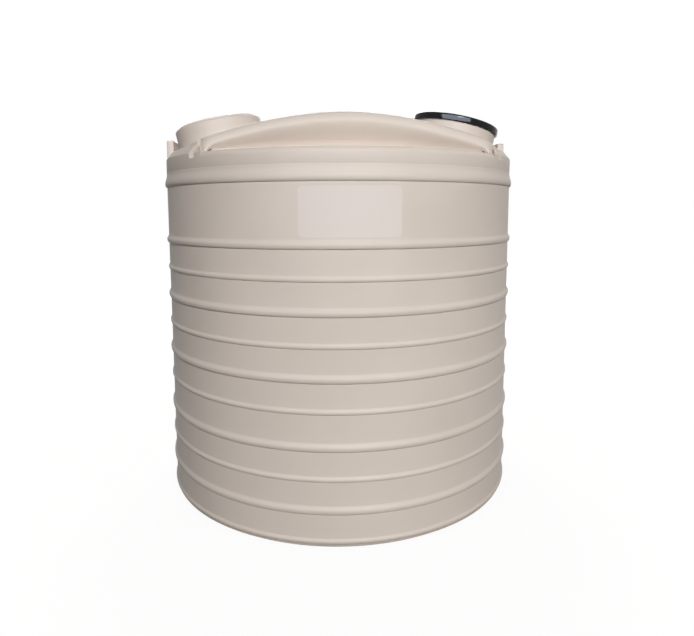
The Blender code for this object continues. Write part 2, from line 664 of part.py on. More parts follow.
def make_valve(frame, start):
    """Ball valve screwed on the outlet tail. Returns the ball's centre along the frame's Z."""
    facet = math.cos(math.pi / FITTING_SEGMENTS)
    seat_face = math.sqrt(BALL_RADIUS ** 2 - ((OUTLET_BORE + GAP) * facet) ** 2) + GAP
    seat_back = seat_face + SEAT_THICKNESS
    socket = OUTLET_TAIL_RADIUS + GAP
    collar = OUTLET_TAIL_RADIUS + SOCKET_WALL
    floor = start + SOCKET_DEPTH
    chamber = floor + SOCKET_SHOULDER
    centre = chamber + GAP + seat_back
    end = centre + seat_back + GAP + END_CAP_SPIGOT
    shell = CHAMBER_RADIUS + VALVE_SHELL
    outline = [(socket, start), (collar, start), (collar, floor), (shell, centre - BELLY_HALF_LENGTH),
               (shell, centre + BELLY_HALF_LENGTH), (shell - BELLY_TAPER, end), (CHAMBER_RADIUS, end),
               (CHAMBER_RADIUS, chamber), (OUTLET_BORE, chamber), (OUTLET_BORE, floor), (socket, floor)]
    body = add_object("valve_body", turned(outline), "brass", frame)
    flats = prism(hexagon(2 * collar), start + HEXAGON_INSET, floor - HEXAGON_INSET)
    join(body, "valve_hexagon", flats, frame)
    cut(body, "valve_socket", cylinder(socket, start, floor), frame)
    up = Matrix.Translation((0, 0, centre)) @ Matrix.Rotation(math.radians(90), 4, "X")
    join(body, "valve_neck", moved(cylinder(NECK_RADIUS, CHAMBER_RADIUS + SINK, NECK_HEIGHT), up), frame)
    stem_bore = cylinder(STEM_RADIUS + GAP, STEM_RADIUS, NECK_HEIGHT + CUT)
    cut(body, "stem_bore", moved(stem_bore, up), frame)
    packing_bore = cylinder(PACKING_RADIUS + GAP, PACKING_SEAT, NECK_HEIGHT + CUT)
    cut(body, "packing_bore", moved(packing_bore, up), frame)

    spigot = CHAMBER_RADIUS - GAP
    cap_start = centre + seat_back + GAP
    cap_end = end + GAP + END_CAP_LENGTH
    mouth = cap_end - SOCKET_DEPTH
    outline = [(OUTLET_BORE, cap_start), (spigot, cap_start), (spigot, end + GAP), (collar, end + GAP),
               (collar, cap_end), (OUTLET_TAIL_RADIUS, cap_end), (OUTLET_TAIL_RADIUS, mouth),
               (OUTLET_BORE, mouth)]
    cap = add_object("valve_end_cap", turned(outline), "brass", frame)
    flats = prism(hexagon(2 * collar), end + GAP + HEXAGON_INSET, cap_end - HEXAGON_INSET)
    join(cap, "end_cap_hexagon", flats, frame)
    cut(cap, "end_cap_passage", cylinder(OUTLET_BORE, cap_start - CUT, cap_end + CUT), frame)
    cut(cap, "end_cap_mouth", cylinder(OUTLET_TAIL_RADIUS, mouth, cap_end + CUT), frame)

    for name, low in (("valve_seat_inner", centre - seat_back), ("valve_seat_outer", centre + seat_face)):
        washer(name, OUTLET_BORE + GAP, spigot, low, low + SEAT_THICKNESS, "white_ptfe", frame)
    return centre


def make_ball(turning):
    """Drilled ball, shut at rest: its bore lies along X, across the flow."""
    turns = [math.radians(180 * step / BALL_STEPS - 90) for step in range(1, BALL_STEPS)]
    outline = [(BALL_RADIUS * math.cos(turn), BALL_RADIUS * math.sin(turn)) for turn in turns]
    outline = [(0, -BALL_RADIUS)] + outline + [(0, BALL_RADIUS)]
    ball = add_object("valve_ball", turned(outline, closed=False), "chrome", turning)
    across = Matrix.Rotation(math.radians(90), 4, "Y")
    cut(ball, "ball_bore", moved(cylinder(OUTLET_BORE, -CUT, CUT), across), turning)
    half = TANG_THICKNESS / 2 + GAP
    slot = block((-BALL_RADIUS, -half, BALL_RADIUS - TANG_DEPTH), (BALL_RADIUS, half, BALL_RADIUS + CUT))
    cut(ball, "ball_slot", slot, turning)


def make_stem(turning, low, high, nut_top):
    """Stem with its tang in the ball, a square for the lever and a threaded end."""
    shape = cylinder(STEM_RADIUS, BALL_RADIUS + GAP, low - GAP)
    stem = add_object("valve_stem", shape, "stainless", turning)
    wide = STEM_RADIUS - TANG_SETBACK
    half = TANG_THICKNESS / 2
    tang = block((-wide, -half, BALL_RADIUS - TANG_DEPTH + GAP), (wide, half, BALL_RADIUS + GAP + SINK))
    join(stem, "stem_tang", tang, turning)
    half = STEM_SQUARE / 2
    join(stem, "stem_square", block((-half, -half, low - GAP - SINK), (half, half, high - SINK)), turning)
    thread = cylinder(THREAD_RADIUS, high - 2 * SINK, nut_top + SINK, SMALL_SEGMENTS)
    join(stem, "stem_thread", thread, turning)


def make_lever(turning, low, high, nut_top):
    """Pressed lever on the stem's square, with its nut and vinyl grip."""
    lever = add_object("valve_lever", lever_plate(low, high), "stainless", turning)
    hole = STEM_SQUARE / 2 + GAP
    cut(lever, "lever_drive", block((-hole, -hole, low - CUT), (hole, hole, high + CUT)), turning)
    flats = 2 * (THREAD_RADIUS + LEVER_NUT_WALL)
    nut = prism(hexagon(flats), high + GAP, nut_top)
    nut = add_object("lever_nut", nut, "stainless", turning)
    bore = cylinder(THREAD_RADIUS + GAP, high - CUT, nut_top + CUT, SMALL_SEGMENTS)
    cut(nut, "lever_nut_bore", bore, turning)

    handle = low + LEVER_STEP
    half = LEVER_WIDTH / 2 + GAP
    start = LEVER_STEP_START + LEVER_STEP_RUN + GRIP_START
    tip = LEVER_REACH + GAP
    outer = block((start, -half - GRIP_SHEET, handle - GAP - GRIP_SHEET),
                  (tip + GRIP_SHEET, half + GRIP_SHEET, handle + LEVER_SHEET + GAP + GRIP_SHEET))
    long_edges = [edge for edge in outer.edges
                  if abs(edge.verts[0].co.x - edge.verts[1].co.x) > GRIP_SHEET]
    bmesh.ops.bevel(outer, geom=long_edges, offset=GRIP_EDGE, segments=2, affect="EDGES", profile=0.5)
    grip = add_object("lever_grip", outer, "red_vinyl", turning)
    pocket = block((start - CUT, -half, handle - GAP), (tip, half, handle + LEVER_SHEET + GAP))
    cut(grip, "grip_pocket", pocket, turning)


def lever_plate(low, high):
    """The lever's strip, along X from its heel, up the step and out to its tip."""
    half = LEVER_WIDTH / 2
    raised = low + LEVER_STEP
    under = [(-LEVER_HEEL, low), (LEVER_STEP_START, low), (LEVER_STEP_START + LEVER_STEP_RUN, raised),
             (LEVER_REACH, raised)]
    shape = bmesh.new()
    rings = []
    for x, z in under:
        corners = ((-half, z), (half, z), (half, z + high - low), (-half, z + high - low))
        rings.append([shape.verts.new((x, y, height)) for y, height in corners])
    for near, far in zip(rings, rings[1:]):
        for step in range(4):
            after = (step + 1) % 4
            shape.faces.new((near[step], near[after], far[after], far[step]))
    shape.faces.new(rings[0])
    shape.faces.new(rings[-1][::-1])
    return shape


def make_packing(fixed):
    """Packing ring and the nut that presses it down, round the stem."""
    low = PACKING_SEAT + GAP
    washer("stem_packing", STEM_RADIUS + GAP, PACKING_RADIUS, low, low + PACKING_HEIGHT, "white_ptfe", fixed)
    spigot = low + PACKING_HEIGHT + GAP
    seat = NECK_HEIGHT + GAP
    head = prism(hexagon(2 * (NECK_RADIUS - PACKING_NUT_STEP)), seat, seat + PACKING_NUT_HEAD)
    nut = add_object("packing_nut", head, "brass", fixed)
    join(nut, "packing_spigot", cylinder(PACKING_RADIUS, spigot, seat + SINK), fixed)
    cut(nut, "packing_bore_through", cylinder(STEM_RADIUS + GAP, spigot - CUT, seat + CUT), fixed)


def make_handle(turning):
    """Everything that turns with the lever. The frame stands on the stem's axis."""
    low = NECK_HEIGHT + GAP + PACKING_NUT_HEAD + GAP
    high = low + LEVER_SHEET
    nut_top = high + GAP + LEVER_NUT_HEIGHT
    make_ball(turning)
    make_stem(turning, low, high, nut_top)
    make_lever(turning, low, high, nut_top)


def make_overflow(frame):
    """Plastic overflow tail clamped through the high boss, with a mesh screen in its mouth."""
    end = BOSS_FACE + OVERFLOW_REACH
    clamp_fitting("overflow", OVERFLOW_BORE, OVERFLOW_TAIL_RADIUS, OVERFLOW_FLANGE_RADIUS,
                  end, "white_pvc", frame)
    bore = OVERFLOW_TAIL_RADIUS + GAP
    nut = BOSS_FACE + GAP
    washer("overflow_nut", bore, bore + OVERFLOW_NUT_WIDTH, nut, nut + OVERFLOW_NUT_THICKNESS,
           "white_pvc", frame)
    face = end + GAP
    rim = bore + SCREEN_RIM
    outline = [(bore, end - SCREEN_SKIRT), (rim, end - SCREEN_SKIRT), (rim, face + SCREEN_LIP),
               (OVERFLOW_BORE, face + SCREEN_LIP), (OVERFLOW_BORE, face + SCREEN_SHEET),
               (0, face + SCREEN_SHEET), (0, face), (bore, face)]
    add_object("overflow_screen", turned(outline), "stainless", frame)


def clear_scene():
    for old in list(bpy.data.objects):
        bpy.data.objects.remove(old, do_unlink=True)


def main():
    clear_scene()
    make_shell()
    distance, height = collar_rim()
    tilt = math.radians(COLLAR_TILT)
    make_strainer(add_frame("right_collar", (distance, 0, height), (0, tilt, 0)))
    make_lid(add_frame("left_collar", (-distance, 0, height), (0, -tilt, 0)))
    back = (math.radians(-90), 0, 0)
    outlet = add_frame("outlet", (0, 0, OUTLET_HEIGHT), back)
    centre = make_valve(outlet, make_outlet(outlet))
    make_packing(add_frame("valve_neck_axis", (0, centre, OUTLET_HEIGHT)))
    make_handle(add_frame("valve_turning", (0, centre, OUTLET_HEIGHT)))
    make_overflow(add_frame("overflow", (0, 0, OVERFLOW_HEIGHT), back))


main()
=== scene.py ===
"""Looks of an upright moulded rainwater tank: fine surfaces, finishes, studio and camera.

Run as a script. Each piece has its own operator, and a panel in the 3D view's sidebar lists them.
"""
import json
import math
from functools import cache

import bmesh
import bpy
from bpy.props import FloatProperty, FloatVectorProperty, IntProperty, PointerProperty
from mathutils import Matrix, Vector


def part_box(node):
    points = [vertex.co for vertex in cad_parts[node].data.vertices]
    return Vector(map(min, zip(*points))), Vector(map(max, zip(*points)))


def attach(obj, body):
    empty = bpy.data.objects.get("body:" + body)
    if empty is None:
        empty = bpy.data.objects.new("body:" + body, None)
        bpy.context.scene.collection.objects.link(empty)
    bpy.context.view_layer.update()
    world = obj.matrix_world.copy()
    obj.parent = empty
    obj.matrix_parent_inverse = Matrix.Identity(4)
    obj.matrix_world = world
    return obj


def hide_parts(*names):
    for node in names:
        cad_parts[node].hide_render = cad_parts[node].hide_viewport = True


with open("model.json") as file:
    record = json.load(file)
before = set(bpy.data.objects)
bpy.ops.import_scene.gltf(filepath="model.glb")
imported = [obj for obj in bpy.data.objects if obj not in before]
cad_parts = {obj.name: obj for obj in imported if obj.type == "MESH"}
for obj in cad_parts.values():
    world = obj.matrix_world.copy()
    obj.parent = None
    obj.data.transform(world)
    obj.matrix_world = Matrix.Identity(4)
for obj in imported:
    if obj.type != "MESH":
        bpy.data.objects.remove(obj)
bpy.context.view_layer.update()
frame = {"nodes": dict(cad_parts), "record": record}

bl_info = {
    "name": "Rainwater tank finish",
    "version": (1, 0, 0),
    "blender": (4, 5, 0),
    "location": "View3D > Sidebar > Tank",
    "description": "Fine surfaces, finishes, studio and camera for an upright moulded water tank",
    "category": "Object",
}

FIXED_BODY = "tank"
TURNING_BODY = "valve_handle"

# Clearances
GAP = 0.0003
CUT = 0.050
SINK = 0.001
CORNER_SHARE = 0.4

# Moulded wall, as the frame has it
WALL = 0.008
BASE_CHAMFER = 0.024
BASE_CHAMFER_HEIGHT = 0.017
LEDGE_FILLET = 0.027
PAD_RISE = 0.032
PAD_CHAMFER = (0.030, 0.036)
PAD_EDGE = 0.004
LEDGE_REACH = 0.656
LEDGE_END_FILLET = 0.007
BASE_RIB_RISE = 0.019
LOWER_RIB_PITCH = 0.136
LOWER_RIBS = 4
WAIST = 0.153
UPPER_RIBS = 6
UPPER_RIB_DROP = 0.393
TOP_RIB_DROP = 0.122
WIDE_RIB_HEIGHT = 0.042
NARROW_RIB_HEIGHT = 0.028
RIB_BELOW = 0.42
RIB_ABOVE = 0.58
TOP_RIB_ABOVE = 0.046
PARTING_DROP = 0.070
PARTING_WIDTH = 0.0055
PARTING_DEPTH = 0.0008

# Roof bridge
BRIDGE_SETBACK = 0.0315
BRIDGE_ROOT = 0.060
ARCH_DROP = 0.224
ARCH_POWER = 1.85
CROSS_FALL = 0.089
BROW_HEIGHT = 0.040
BROW_WIDTH = 0.032
COVE = 0.040
COVE_SHARE = 0.18
UNDERCUT = 0.060
UNDERCUT_POWER = 0.45
UNDERCUT_CREASE = 1.45
UNDERCUT_FADE = 0.105

# Corner notches and end lugs
NOTCH_ANGLE = 50.5
NOTCH_WIDTH = 0.040
NOTCH_DEPTH = 0.060
NOTCH_DROP = 0.026
LUG_WIDTH = 0.190
LUG_THICKNESS = 0.034
LUG_RISE = 0.074
LUG_SETBACK = 0.005
LUG_EDGE = 0.006

# Eased edge of a washer or a screen's rim
FINE_EDGE = 0.0006

# Collars
COLLAR_SETBACK = 0.2565
COLLAR_STAND = 0.102
COLLAR_ROOT = 0.125
COLLAR_EDGE = 0.011
COLLAR_LIP = 0.040
COLLAR_FILLET = 0.016
COLLAR_SKIRT_LEVEL = 1.60
FOOT_HALVINGS = 30

# Wall fittings at the back
BOSS_PROUD = 0.012
BOSS_THICKNESS = 0.017
BOSS_EDGE = 0.004
FLANGE_PLAY = 0.004
OUTLET_HEIGHT = 0.105
OUTLET_TAIL_RADIUS = 0.021
OUTLET_FLANGE_RADIUS = 0.034
OVERFLOW_DROP = 0.221
OVERFLOW_TAIL_RADIUS = 0.045
OVERFLOW_FLANGE_RADIUS = 0.062

# Facets
COLLAR_SEGMENTS = 144
BRIDGE_COLUMNS = 128
ROUND_STEPS = 10
CROWN_ROWS = 22
FACE_STEPS = 12
FILLET_STEPS = 8
UNDER_STEPS = 6
OVER_STEPS = 10
CAVITY_SEGMENTS = 64
CAVITY_COLUMNS = 96
CAVITY_ROUND_STEPS = 3
CAVITY_FACE_STEPS = 12
CAVITY_CROWN_ROWS = 4
FITTING_SEGMENTS = 72
SHARP_ANGLE = 21.0
WIRE_SIDES = 5


def length_value(name, description, default):
    return FloatProperty(name=name, description=description, default=default, unit="LENGTH")


def angle_value(name, description, degrees):
    return FloatProperty(name=name, description=description, default=math.radians(degrees), subtype="ANGLE")


def light_value(name, description, default):
    return FloatProperty(name=name, description=description, default=default, min=0.0)


def colour_value(name, description, *default):
    return FloatVectorProperty(name=name, description=description, default=default, size=3, subtype="COLOR")


class TankForm(bpy.types.PropertyGroup):
    """Sizes of the moulded tank that a user would change."""
    radius: length_value("Radius", "Radius of the plain wall between its ribs", 0.900)
    ledge_height: length_value("Ledge height", "Roof ledge in front of and behind the bridge", 1.676)
    bridge_rise: length_value("Bridge rise", "Crown of the bridge above the ledge", 0.218)
    face_distance: length_value("Face distance", "Upright bridge faces from the tank's axis", 0.594)
    wide_rib: length_value("Wide rib depth", "How far a wide rib stands out from the wall", 0.0095)
    narrow_rib: length_value("Narrow rib depth", "How far a narrow rib stands out", 0.0065)
    collar_radius: length_value("Collar radius", "Outside radius of both roof collars", 0.225)
    collar_tilt: angle_value("Collar tilt", "How far each collar leans outwards", 12.0)
    segments: IntProperty(name="Facets", description="Facets round the tank's wall", default=192, min=48)


class TankColours(bpy.types.PropertyGroup):
    """Colours of the finishes."""
    polyethylene: colour_value("Polyethylene", "Moulded tank and access lid", 0.690, 0.618, 0.560)
    panel: colour_value("Bare panel", "Smooth field on the front wall", 0.745, 0.675, 0.640)
    gloss_black: colour_value("Strainer ring", "Glossy black strainer ring", 0.010, 0.011, 0.013)
    steel: colour_value("Stainless steel", "Basket, screws, stem, lever and screen", 0.60, 0.60, 0.59)
    brass: colour_value("Brass", "Outlet tail, nuts and valve body", 0.72, 0.50, 0.23)
    chrome: colour_value("Chrome", "Valve ball", 0.80, 0.80, 0.82)
    ptfe: colour_value("Seats", "Valve seats and stem packing", 0.86, 0.86, 0.84)
    rubber: colour_value("Rubber", "Seals", 0.020, 0.020, 0.021)
    pvc: colour_value("Overflow plastic", "Overflow tail and nut", 0.80, 0.80, 0.77)
    vinyl: colour_value("Lever grip", "Dipped vinyl grip", 0.52, 0.030, 0.020)


class TankStudio(bpy.types.PropertyGroup):
    """Light, floor and camera."""
    key_power: light_value("Key power", "Wide soft panel in front of the tank, in watts", 1640.0)
    back_power: light_value("Back power", "Soft panel behind the tank, in watts", 560.0)
    strip_power: light_value("Strip power", "Long strip seen in glossy surfaces only, in watts", 2100.0)
    ambient: light_value("Ambient", "Light from all round", 0.014)
    lens: FloatProperty(name="Lens", description="Focal length on a 36 mm wide sensor, in millimetres",
                        default=29.13, min=1.0)
    eye_distance: length_value("Eye distance", "Camera from the tank's axis, in plan", 3.1229)
    eye_height: length_value("Eye height", "Camera above the floor", 1.4179)
    eye_turn: angle_value("Eye turn", "Camera's place round the tank from straight ahead", -5.0)
    yaw: angle_value("Yaw", "Aim to the right of the tank's axis", 0.79)
    pitch: angle_value("Pitch", "Aim below the horizon", 6.285)
    roll: angle_value("Roll", "Turn about the line of sight", 0.17)
    rise: FloatProperty(name="Rise", description="Vertical shift that frames the photograph's view",
                        default=-0.0647)


class Socket:
    """A shader socket that takes part in sums: an expression on sockets adds its Math nodes."""

    def __init__(self, surface, socket):
        self.surface = surface
        self.socket = socket

    def __add__(self, other):
        return self.surface.math("ADD", self, other)

    __radd__ = __add__

    def __sub__(self, other):
        return self.surface.math("SUBTRACT", self, other)

    def __rsub__(self, other):
        return self.surface.math("SUBTRACT", other, self)

    def __mul__(self, other):
        return self.surface.math("MULTIPLY", self, other)

    __rmul__ = __mul__

    def __truediv__(self, other):
        return self.surface.math("DIVIDE", self, other)

    def __rtruediv__(self, other):
        return self.surface.math("DIVIDE", other, self)

    def __pow__(self, other):
        return self.surface.math("POWER", self, other)

    def __abs__(self):
        return self.surface.math("ABSOLUTE", self)


class Graph:
    """A node tree whose nodes all come from one method."""

    def __init__(self, tree):
        self.tree = tree

    def feed(self, target, value):
        if isinstance(value, Socket):
            self.tree.links.new(value.socket, target)
        else:
            target.default_value = value

    def node(self, kind, settings=None, inputs=None, output=0):
        """Any node: its type, its settings, its sockets' values or links, and the output wanted."""
        made = self.tree.nodes.new(kind)
        for name, value in (settings or {}).items():
            setattr(made, name, value)
        for name, value in (inputs or {}).items():
            self.feed(made.inputs[name], value)
        return Socket(self, made.outputs[output])

    def math(self, operation, *values):
        return self.node("ShaderNodeMath", {"operation": operation}, dict(enumerate(values)))

    def joined(self, x, y, z):
        return self.node("ShaderNodeCombineXYZ", inputs={0: x, 1: y, 2: z})


class Surface(Graph):
    """One material, written as expressions on its sockets."""

    def __init__(self, name):
        self.material = bpy.data.materials.new(name)
        self.material.use_nodes = True
        super().__init__(self.material.node_tree)
        self.shader = self.tree.nodes["Principled BSDF"]
        self.place = self.node("ShaderNodeTexCoord", output="Object")

    def step(self, value, low, high, first=0.0, last=1.0):
        """A smooth step from first at low to last at high."""
        return self.node("ShaderNodeMapRange", {"interpolation_type": "SMOOTHSTEP"},
                         {"Value": value, "From Min": low, "From Max": high, "To Min": first, "To Max": last})

    def axis(self, letter, vector=None):
        return self.node("ShaderNodeSeparateXYZ", inputs={0: vector or self.place}, output=letter)

    def scaled(self, factors, vector=None):
        return self.node("ShaderNodeVectorMath", {"operation": "MULTIPLY"},
                         {0: vector or self.place, 1: factors})

    def noise(self, scale, detail=2.0, vector=None, roughness=0.5):
        return self.node("ShaderNodeTexNoise", inputs={"Vector": vector or self.place, "Scale": scale,
                                                       "Detail": detail, "Roughness": roughness}, output=0)

    def blend(self, share, first, second):
        """Two colours mixed by a share."""
        return self.node("ShaderNodeMix", {"data_type": "RGBA"}, {0: share, 6: first, 7: second}, output=2)

    def shade(self, share, name, low, high):
        """One of the user's colours, from low to high times as bright."""
        colour = getattr(bpy.context.scene.tank_colours, name)
        return self.blend(share, rgba(colour, low), rgba(colour, high))

    def bump(self, height, distance, strength=1.0):
        normal = self.node("ShaderNodeBump", inputs={"Height": height, "Distance": distance,
                                                     "Strength": strength})
        self.set(Normal=normal)

    def set(self, **values):
        """Sockets of the closing shader. An underscore in a name stands for a space."""
        for name, value in values.items():
            self.feed(self.shader.inputs[name.replace("_", " ")], value)


class Growth(Graph):
    """A Geometry Nodes tree with named inputs, which makes a plain mesh of a source mesh."""

    def __init__(self, name):
        super().__init__(bpy.data.node_groups.new(name, "GeometryNodeTree"))
        for way in ("INPUT", "OUTPUT"):
            self.tree.interface.new_socket("Geometry", in_out=way, socket_type="NodeSocketGeometry")
        self.entry = self.tree.nodes.new("NodeGroupInput")
        self.source = Socket(self, self.entry.outputs["Geometry"])

    def given(self, name, kind="Float"):
        """A named input of the tree."""
        self.tree.interface.new_socket(name, in_out="INPUT", socket_type=f"NodeSocket{kind}")
        return Socket(self, self.entry.outputs[name])

    def placed(self, points, instance, **settings):
        return self.node("GeometryNodeInstanceOnPoints", inputs={"Points": points, "Instance": instance,
                                                                 **settings})

    def turn(self, angle):
        return self.node("FunctionNodeEulerToRotation", inputs={0: self.joined(0.0, 0.0, angle)})

    def together(self, *parts):
        made = self.tree.nodes.new("GeometryNodeJoinGeometry")
        for part in parts:
            self.tree.links.new(part.socket, made.inputs[0])
        return Socket(self, made.outputs[0])

    def circle(self, radius, resolution):
        return self.node("GeometryNodeCurvePrimitiveCircle", inputs={"Resolution": resolution,
                                                                     "Radius": radius})

    def wires(self, curves, radius, sides=WIRE_SIDES):
        """Round wires along curves."""
        curves = self.node("GeometryNodeRealizeInstances", inputs={0: curves})
        return self.node("GeometryNodeCurveToMesh", inputs={"Curve": curves, "Fill Caps": True,
                                                            "Profile Curve": self.circle(radius, sides)})

    def end(self, geometry):
        """The tree's end: real geometry with its finish."""
        geometry = self.node("GeometryNodeRealizeInstances", inputs={0: geometry})
        geometry = self.node("GeometryNodeSetMaterial", inputs={0: geometry,
                                                                "Material": self.given("Finish", "Material")})
        self.tree.links.new(geometry.socket, self.tree.nodes.new("NodeGroupOutput").inputs[0])
        return self.tree


def grown(tree, source, slot, **values):
    """The plain mesh that a tree makes of a source mesh."""
    holder = held("growing", source)
    modifier = holder.modifiers.new(tree.name, "NODES")
    modifier.node_group = tree
    values["Finish"] = FINISHES[slot]()
    for item in tree.interface.items_tree:
        if item.in_out == "INPUT" and item.name in values:
            modifier[item.identifier] = values[item.name]
    return settled(holder)


def rgba(colour, factor=1.0):
    return (*(part * factor for part in colour), 1.0)


# Bare smooth panel on the front wall
PANEL_TURN = math.radians(-2.05)
PANEL_HEIGHT = 1.417
PANEL_WIDTH = 0.424
PANEL_TALL = 0.207
PANEL_CORNER = 0.022
PANEL_SOFTNESS = 0.003

# Dusty specks and painted shade at the foot of the wall, and where brass has dulled
DUST_AND_SHADE_FADE = (0.004, 0.050)
DUST_AND_SHADE_COLOUR = (0.30, 0.26, 0.22)
DULL_BRASS = (0.42, 0.28, 0.13)


@cache
def polyethylene():
    """Moulded beige polyethylene: faint cloudiness, fine pebbling, dusty specks and painted shade low down, a
    bare smooth panel.
    """
    colours = bpy.context.scene.tank_colours
    form = bpy.context.scene.tank_form
    surface = Surface("beige_polyethylene")
    x, y, z = (surface.axis(letter) for letter in "XYZ")
    around = surface.math("ARCTAN2", x, 0 - y)
    across = abs((around - PANEL_TURN) * form.radius) - (PANEL_WIDTH / 2 - PANEL_CORNER)
    upward = abs(z - PANEL_HEIGHT) - (PANEL_TALL / 2 - PANEL_CORNER)
    corner = surface.math("MAXIMUM", across, 0.0) ** 2.0 + surface.math("MAXIMUM", upward, 0.0) ** 2.0
    panel = 1 - surface.step(surface.math("SQRT", corner), PANEL_CORNER - PANEL_SOFTNESS, PANEL_CORNER)
    cloud = surface.noise(2.6, 3.0)
    grain = surface.noise(38.0, 4.0)
    # Darker towards the foot: dusty specks, and painted shade standing in for the shade of the undercut base
    dust_and_shade = (1 - surface.step(z, *DUST_AND_SHADE_FADE)) * (0.35 + 0.5 * surface.noise(60.0, 3.0))
    base = surface.shade(surface.step(cloud, 0.35, 0.65), "polyethylene", 0.975, 1.015)
    base = surface.blend((grain - 0.5) * 0.10 + 0.05, base, rgba(colours.polyethylene, 1.06))
    base = surface.blend(panel, base, rgba(colours.panel))
    base = surface.blend(dust_and_shade, base, rgba(DUST_AND_SHADE_COLOUR))
    pebbles = surface.noise(420.0, 2.0)
    swell = surface.noise(7.0, 1.0)
    surface.set(Base_Color=base, Roughness=0.44 + 0.10 * (grain - 0.5) - 0.06 * panel,
                Specular_IOR_Level=0.05)
    surface.bump(pebbles * 0.00012 + swell * 0.0016, 1.0, 0.55)
    return surface.material


@cache
def gloss_black():
    """Glossy black moulding with faint hairline scuffs."""
    surface = Surface("gloss_black")
    scuffs = surface.noise(90.0, 5.0, surface.scaled((1.0, 1.0, 9.0)))
    wear = surface.step(scuffs, 0.60, 0.78)
    surface.set(Base_Color=surface.shade(wear * 0.35, "gloss_black", 1.0, 2.2),
                Roughness=0.085 + wear * 0.12, Specular_IOR_Level=0.11)
    surface.bump(surface.noise(240.0, 2.0), 0.00005, 0.5)
    return surface.material


@cache
def steel():
    """Stainless steel with fine drawn lines."""
    surface = Surface("stainless_steel")
    lines = surface.noise(160.0, 3.0, surface.scaled((1.0, 1.0, 14.0)))
    surface.set(Base_Color=surface.shade(lines, "steel", 0.88, 1.10), Roughness=0.22 + lines * 0.16,
                Metallic=1.0)
    surface.bump(lines, 0.00006, 0.5)
    return surface.material


@cache
def brass():
    """Machined brass, a little dulled."""
    surface = Surface("machined_brass")
    dull = surface.noise(45.0, 4.0)
    turning = surface.noise(900.0, 1.0, surface.scaled((0.02, 1.0, 0.02)))
    bright = rgba(bpy.context.scene.tank_colours.brass)
    surface.set(Base_Color=surface.blend(surface.step(dull, 0.40, 0.75), bright, rgba(DULL_BRASS)),
                Roughness=0.20 + dull * 0.22, Metallic=1.0)
    surface.bump(turning, 0.00008, 0.6)
    return surface.material


@cache
def chrome():
    """Polished chrome plate."""
    surface = Surface("chrome_plate")
    haze = surface.noise(70.0, 3.0)
    surface.set(Base_Color=surface.shade(haze, "chrome", 0.95, 1.0), Roughness=0.05 + haze * 0.06,
                Metallic=1.0)
    return surface.material


@cache
def ptfe():
    """White fluoropolymer."""
    surface = Surface("white_ptfe")
    haze = surface.noise(120.0, 2.0)
    surface.set(Base_Color=surface.shade(haze, "ptfe", 0.94, 1.0), Roughness=0.35 + haze * 0.1)
    return surface.material


@cache
def rubber():
    """Black rubber with a dusty bloom."""
    surface = Surface("black_rubber")
    bloom = surface.noise(55.0, 4.0)
    surface.set(Base_Color=surface.shade(surface.step(bloom, 0.45, 0.8), "rubber", 1.0, 2.6),
                Roughness=0.62 + bloom * 0.2)
    surface.bump(surface.noise(500.0, 2.0), 0.0001, 0.6)
    return surface.material


@cache
def pvc():
    """Off-white moulded plastic of the overflow."""
    surface = Surface("white_pvc")
    cloud = surface.noise(20.0, 3.0)
    surface.set(Base_Color=surface.shade(cloud, "pvc", 0.95, 1.0), Roughness=0.30 + cloud * 0.12)
    surface.bump(surface.noise(350.0, 2.0), 0.00008, 0.5)
    return surface.material


@cache
def vinyl():
    """Red vinyl dip with a soft skin."""
    surface = Surface("red_vinyl")
    skin = surface.noise(260.0, 3.0)
    surface.set(Base_Color=surface.shade(skin, "vinyl", 0.9, 1.1), Roughness=0.36 + skin * 0.14)
    surface.bump(skin, 0.0002, 0.5)
    return surface.material


FINISHES = {
    "beige_polyethylene": polyethylene,
    "black_plastic": gloss_black,
    "stainless": steel,
    "brass": brass,
    "chrome_ball": chrome,
    "white_ptfe": ptfe,
    "black_rubber": rubber,
    "white_pvc": pvc,
    "red_vinyl": vinyl,
}


def loft(rings, joined=False):
    """A mesh through rings of points. A ring of one point is a pole, and open ends get flat caps."""
    points = [point for ring in rings for point in ring]
    starts = [sum(len(ring) for ring in rings[:count]) for count in range(len(rings))]
    faces = []
    pairs = list(zip(range(len(rings)), range(1, len(rings))))
    if joined:
        pairs.append((len(rings) - 1, 0))
    else:
        faces += [[starts[end] + step for step in range(len(rings[end]))]
                  for end in (0, len(rings) - 1) if len(rings[end]) > 1]
    for low, high in pairs:
        count = max(len(rings[low]), len(rings[high]))
        for step in range(count):
            after = (step + 1) % count
            corners = [starts[low] + step % len(rings[low]), starts[low] + after % len(rings[low]),
                       starts[high] + after % len(rings[high]), starts[high] + step % len(rings[high])]
            face = list(dict.fromkeys(corners))
            if len(face) > 2:
                faces.append(face)
    mesh = bpy.data.meshes.new("form")
    mesh.from_pydata([tuple(point) for point in points], [], faces)
    return outward(mesh)


def outward(mesh):
    shape = bmesh.new()
    shape.from_mesh(mesh)
    bmesh.ops.recalc_face_normals(shape, faces=shape.faces)
    shape.to_mesh(mesh)
    shape.free()
    return mesh


def ring_points(radius, segments, height=0.0):
    turns = [math.tau * (step + 0.5) / segments for step in range(segments)]
    return [Vector((radius * math.sin(turn), -radius * math.cos(turn), height)) for turn in turns]


def turned(profile, segments, closed=True):
    """Spin (radius, height) points about Z. A radius of 0 is a pole."""
    rings = [ring_points(radius, segments, height) if radius > 0 else [Vector((0, 0, height))]
             for radius, height in profile]
    return loft(rings, joined=closed)


def arc(centre, radius, first, last, steps=FILLET_STEPS):
    """Points of an arc in a (radius, height) outline, angles in degrees from +radius."""
    turns = [math.radians(first + (last - first) * step / steps) for step in range(steps + 1)]
    return [(centre[0] + radius * math.cos(turn), centre[1] + radius * math.sin(turn)) for turn in turns]


def cylinder(radius, low, high, segments=FITTING_SEGMENTS):
    return turned([(radius, low), (radius, high)], segments, closed=False)


def prism(outline, low, high):
    return loft([[Vector((x, y, low)) for x, y in outline], [Vector((x, y, high)) for x, y in outline]])


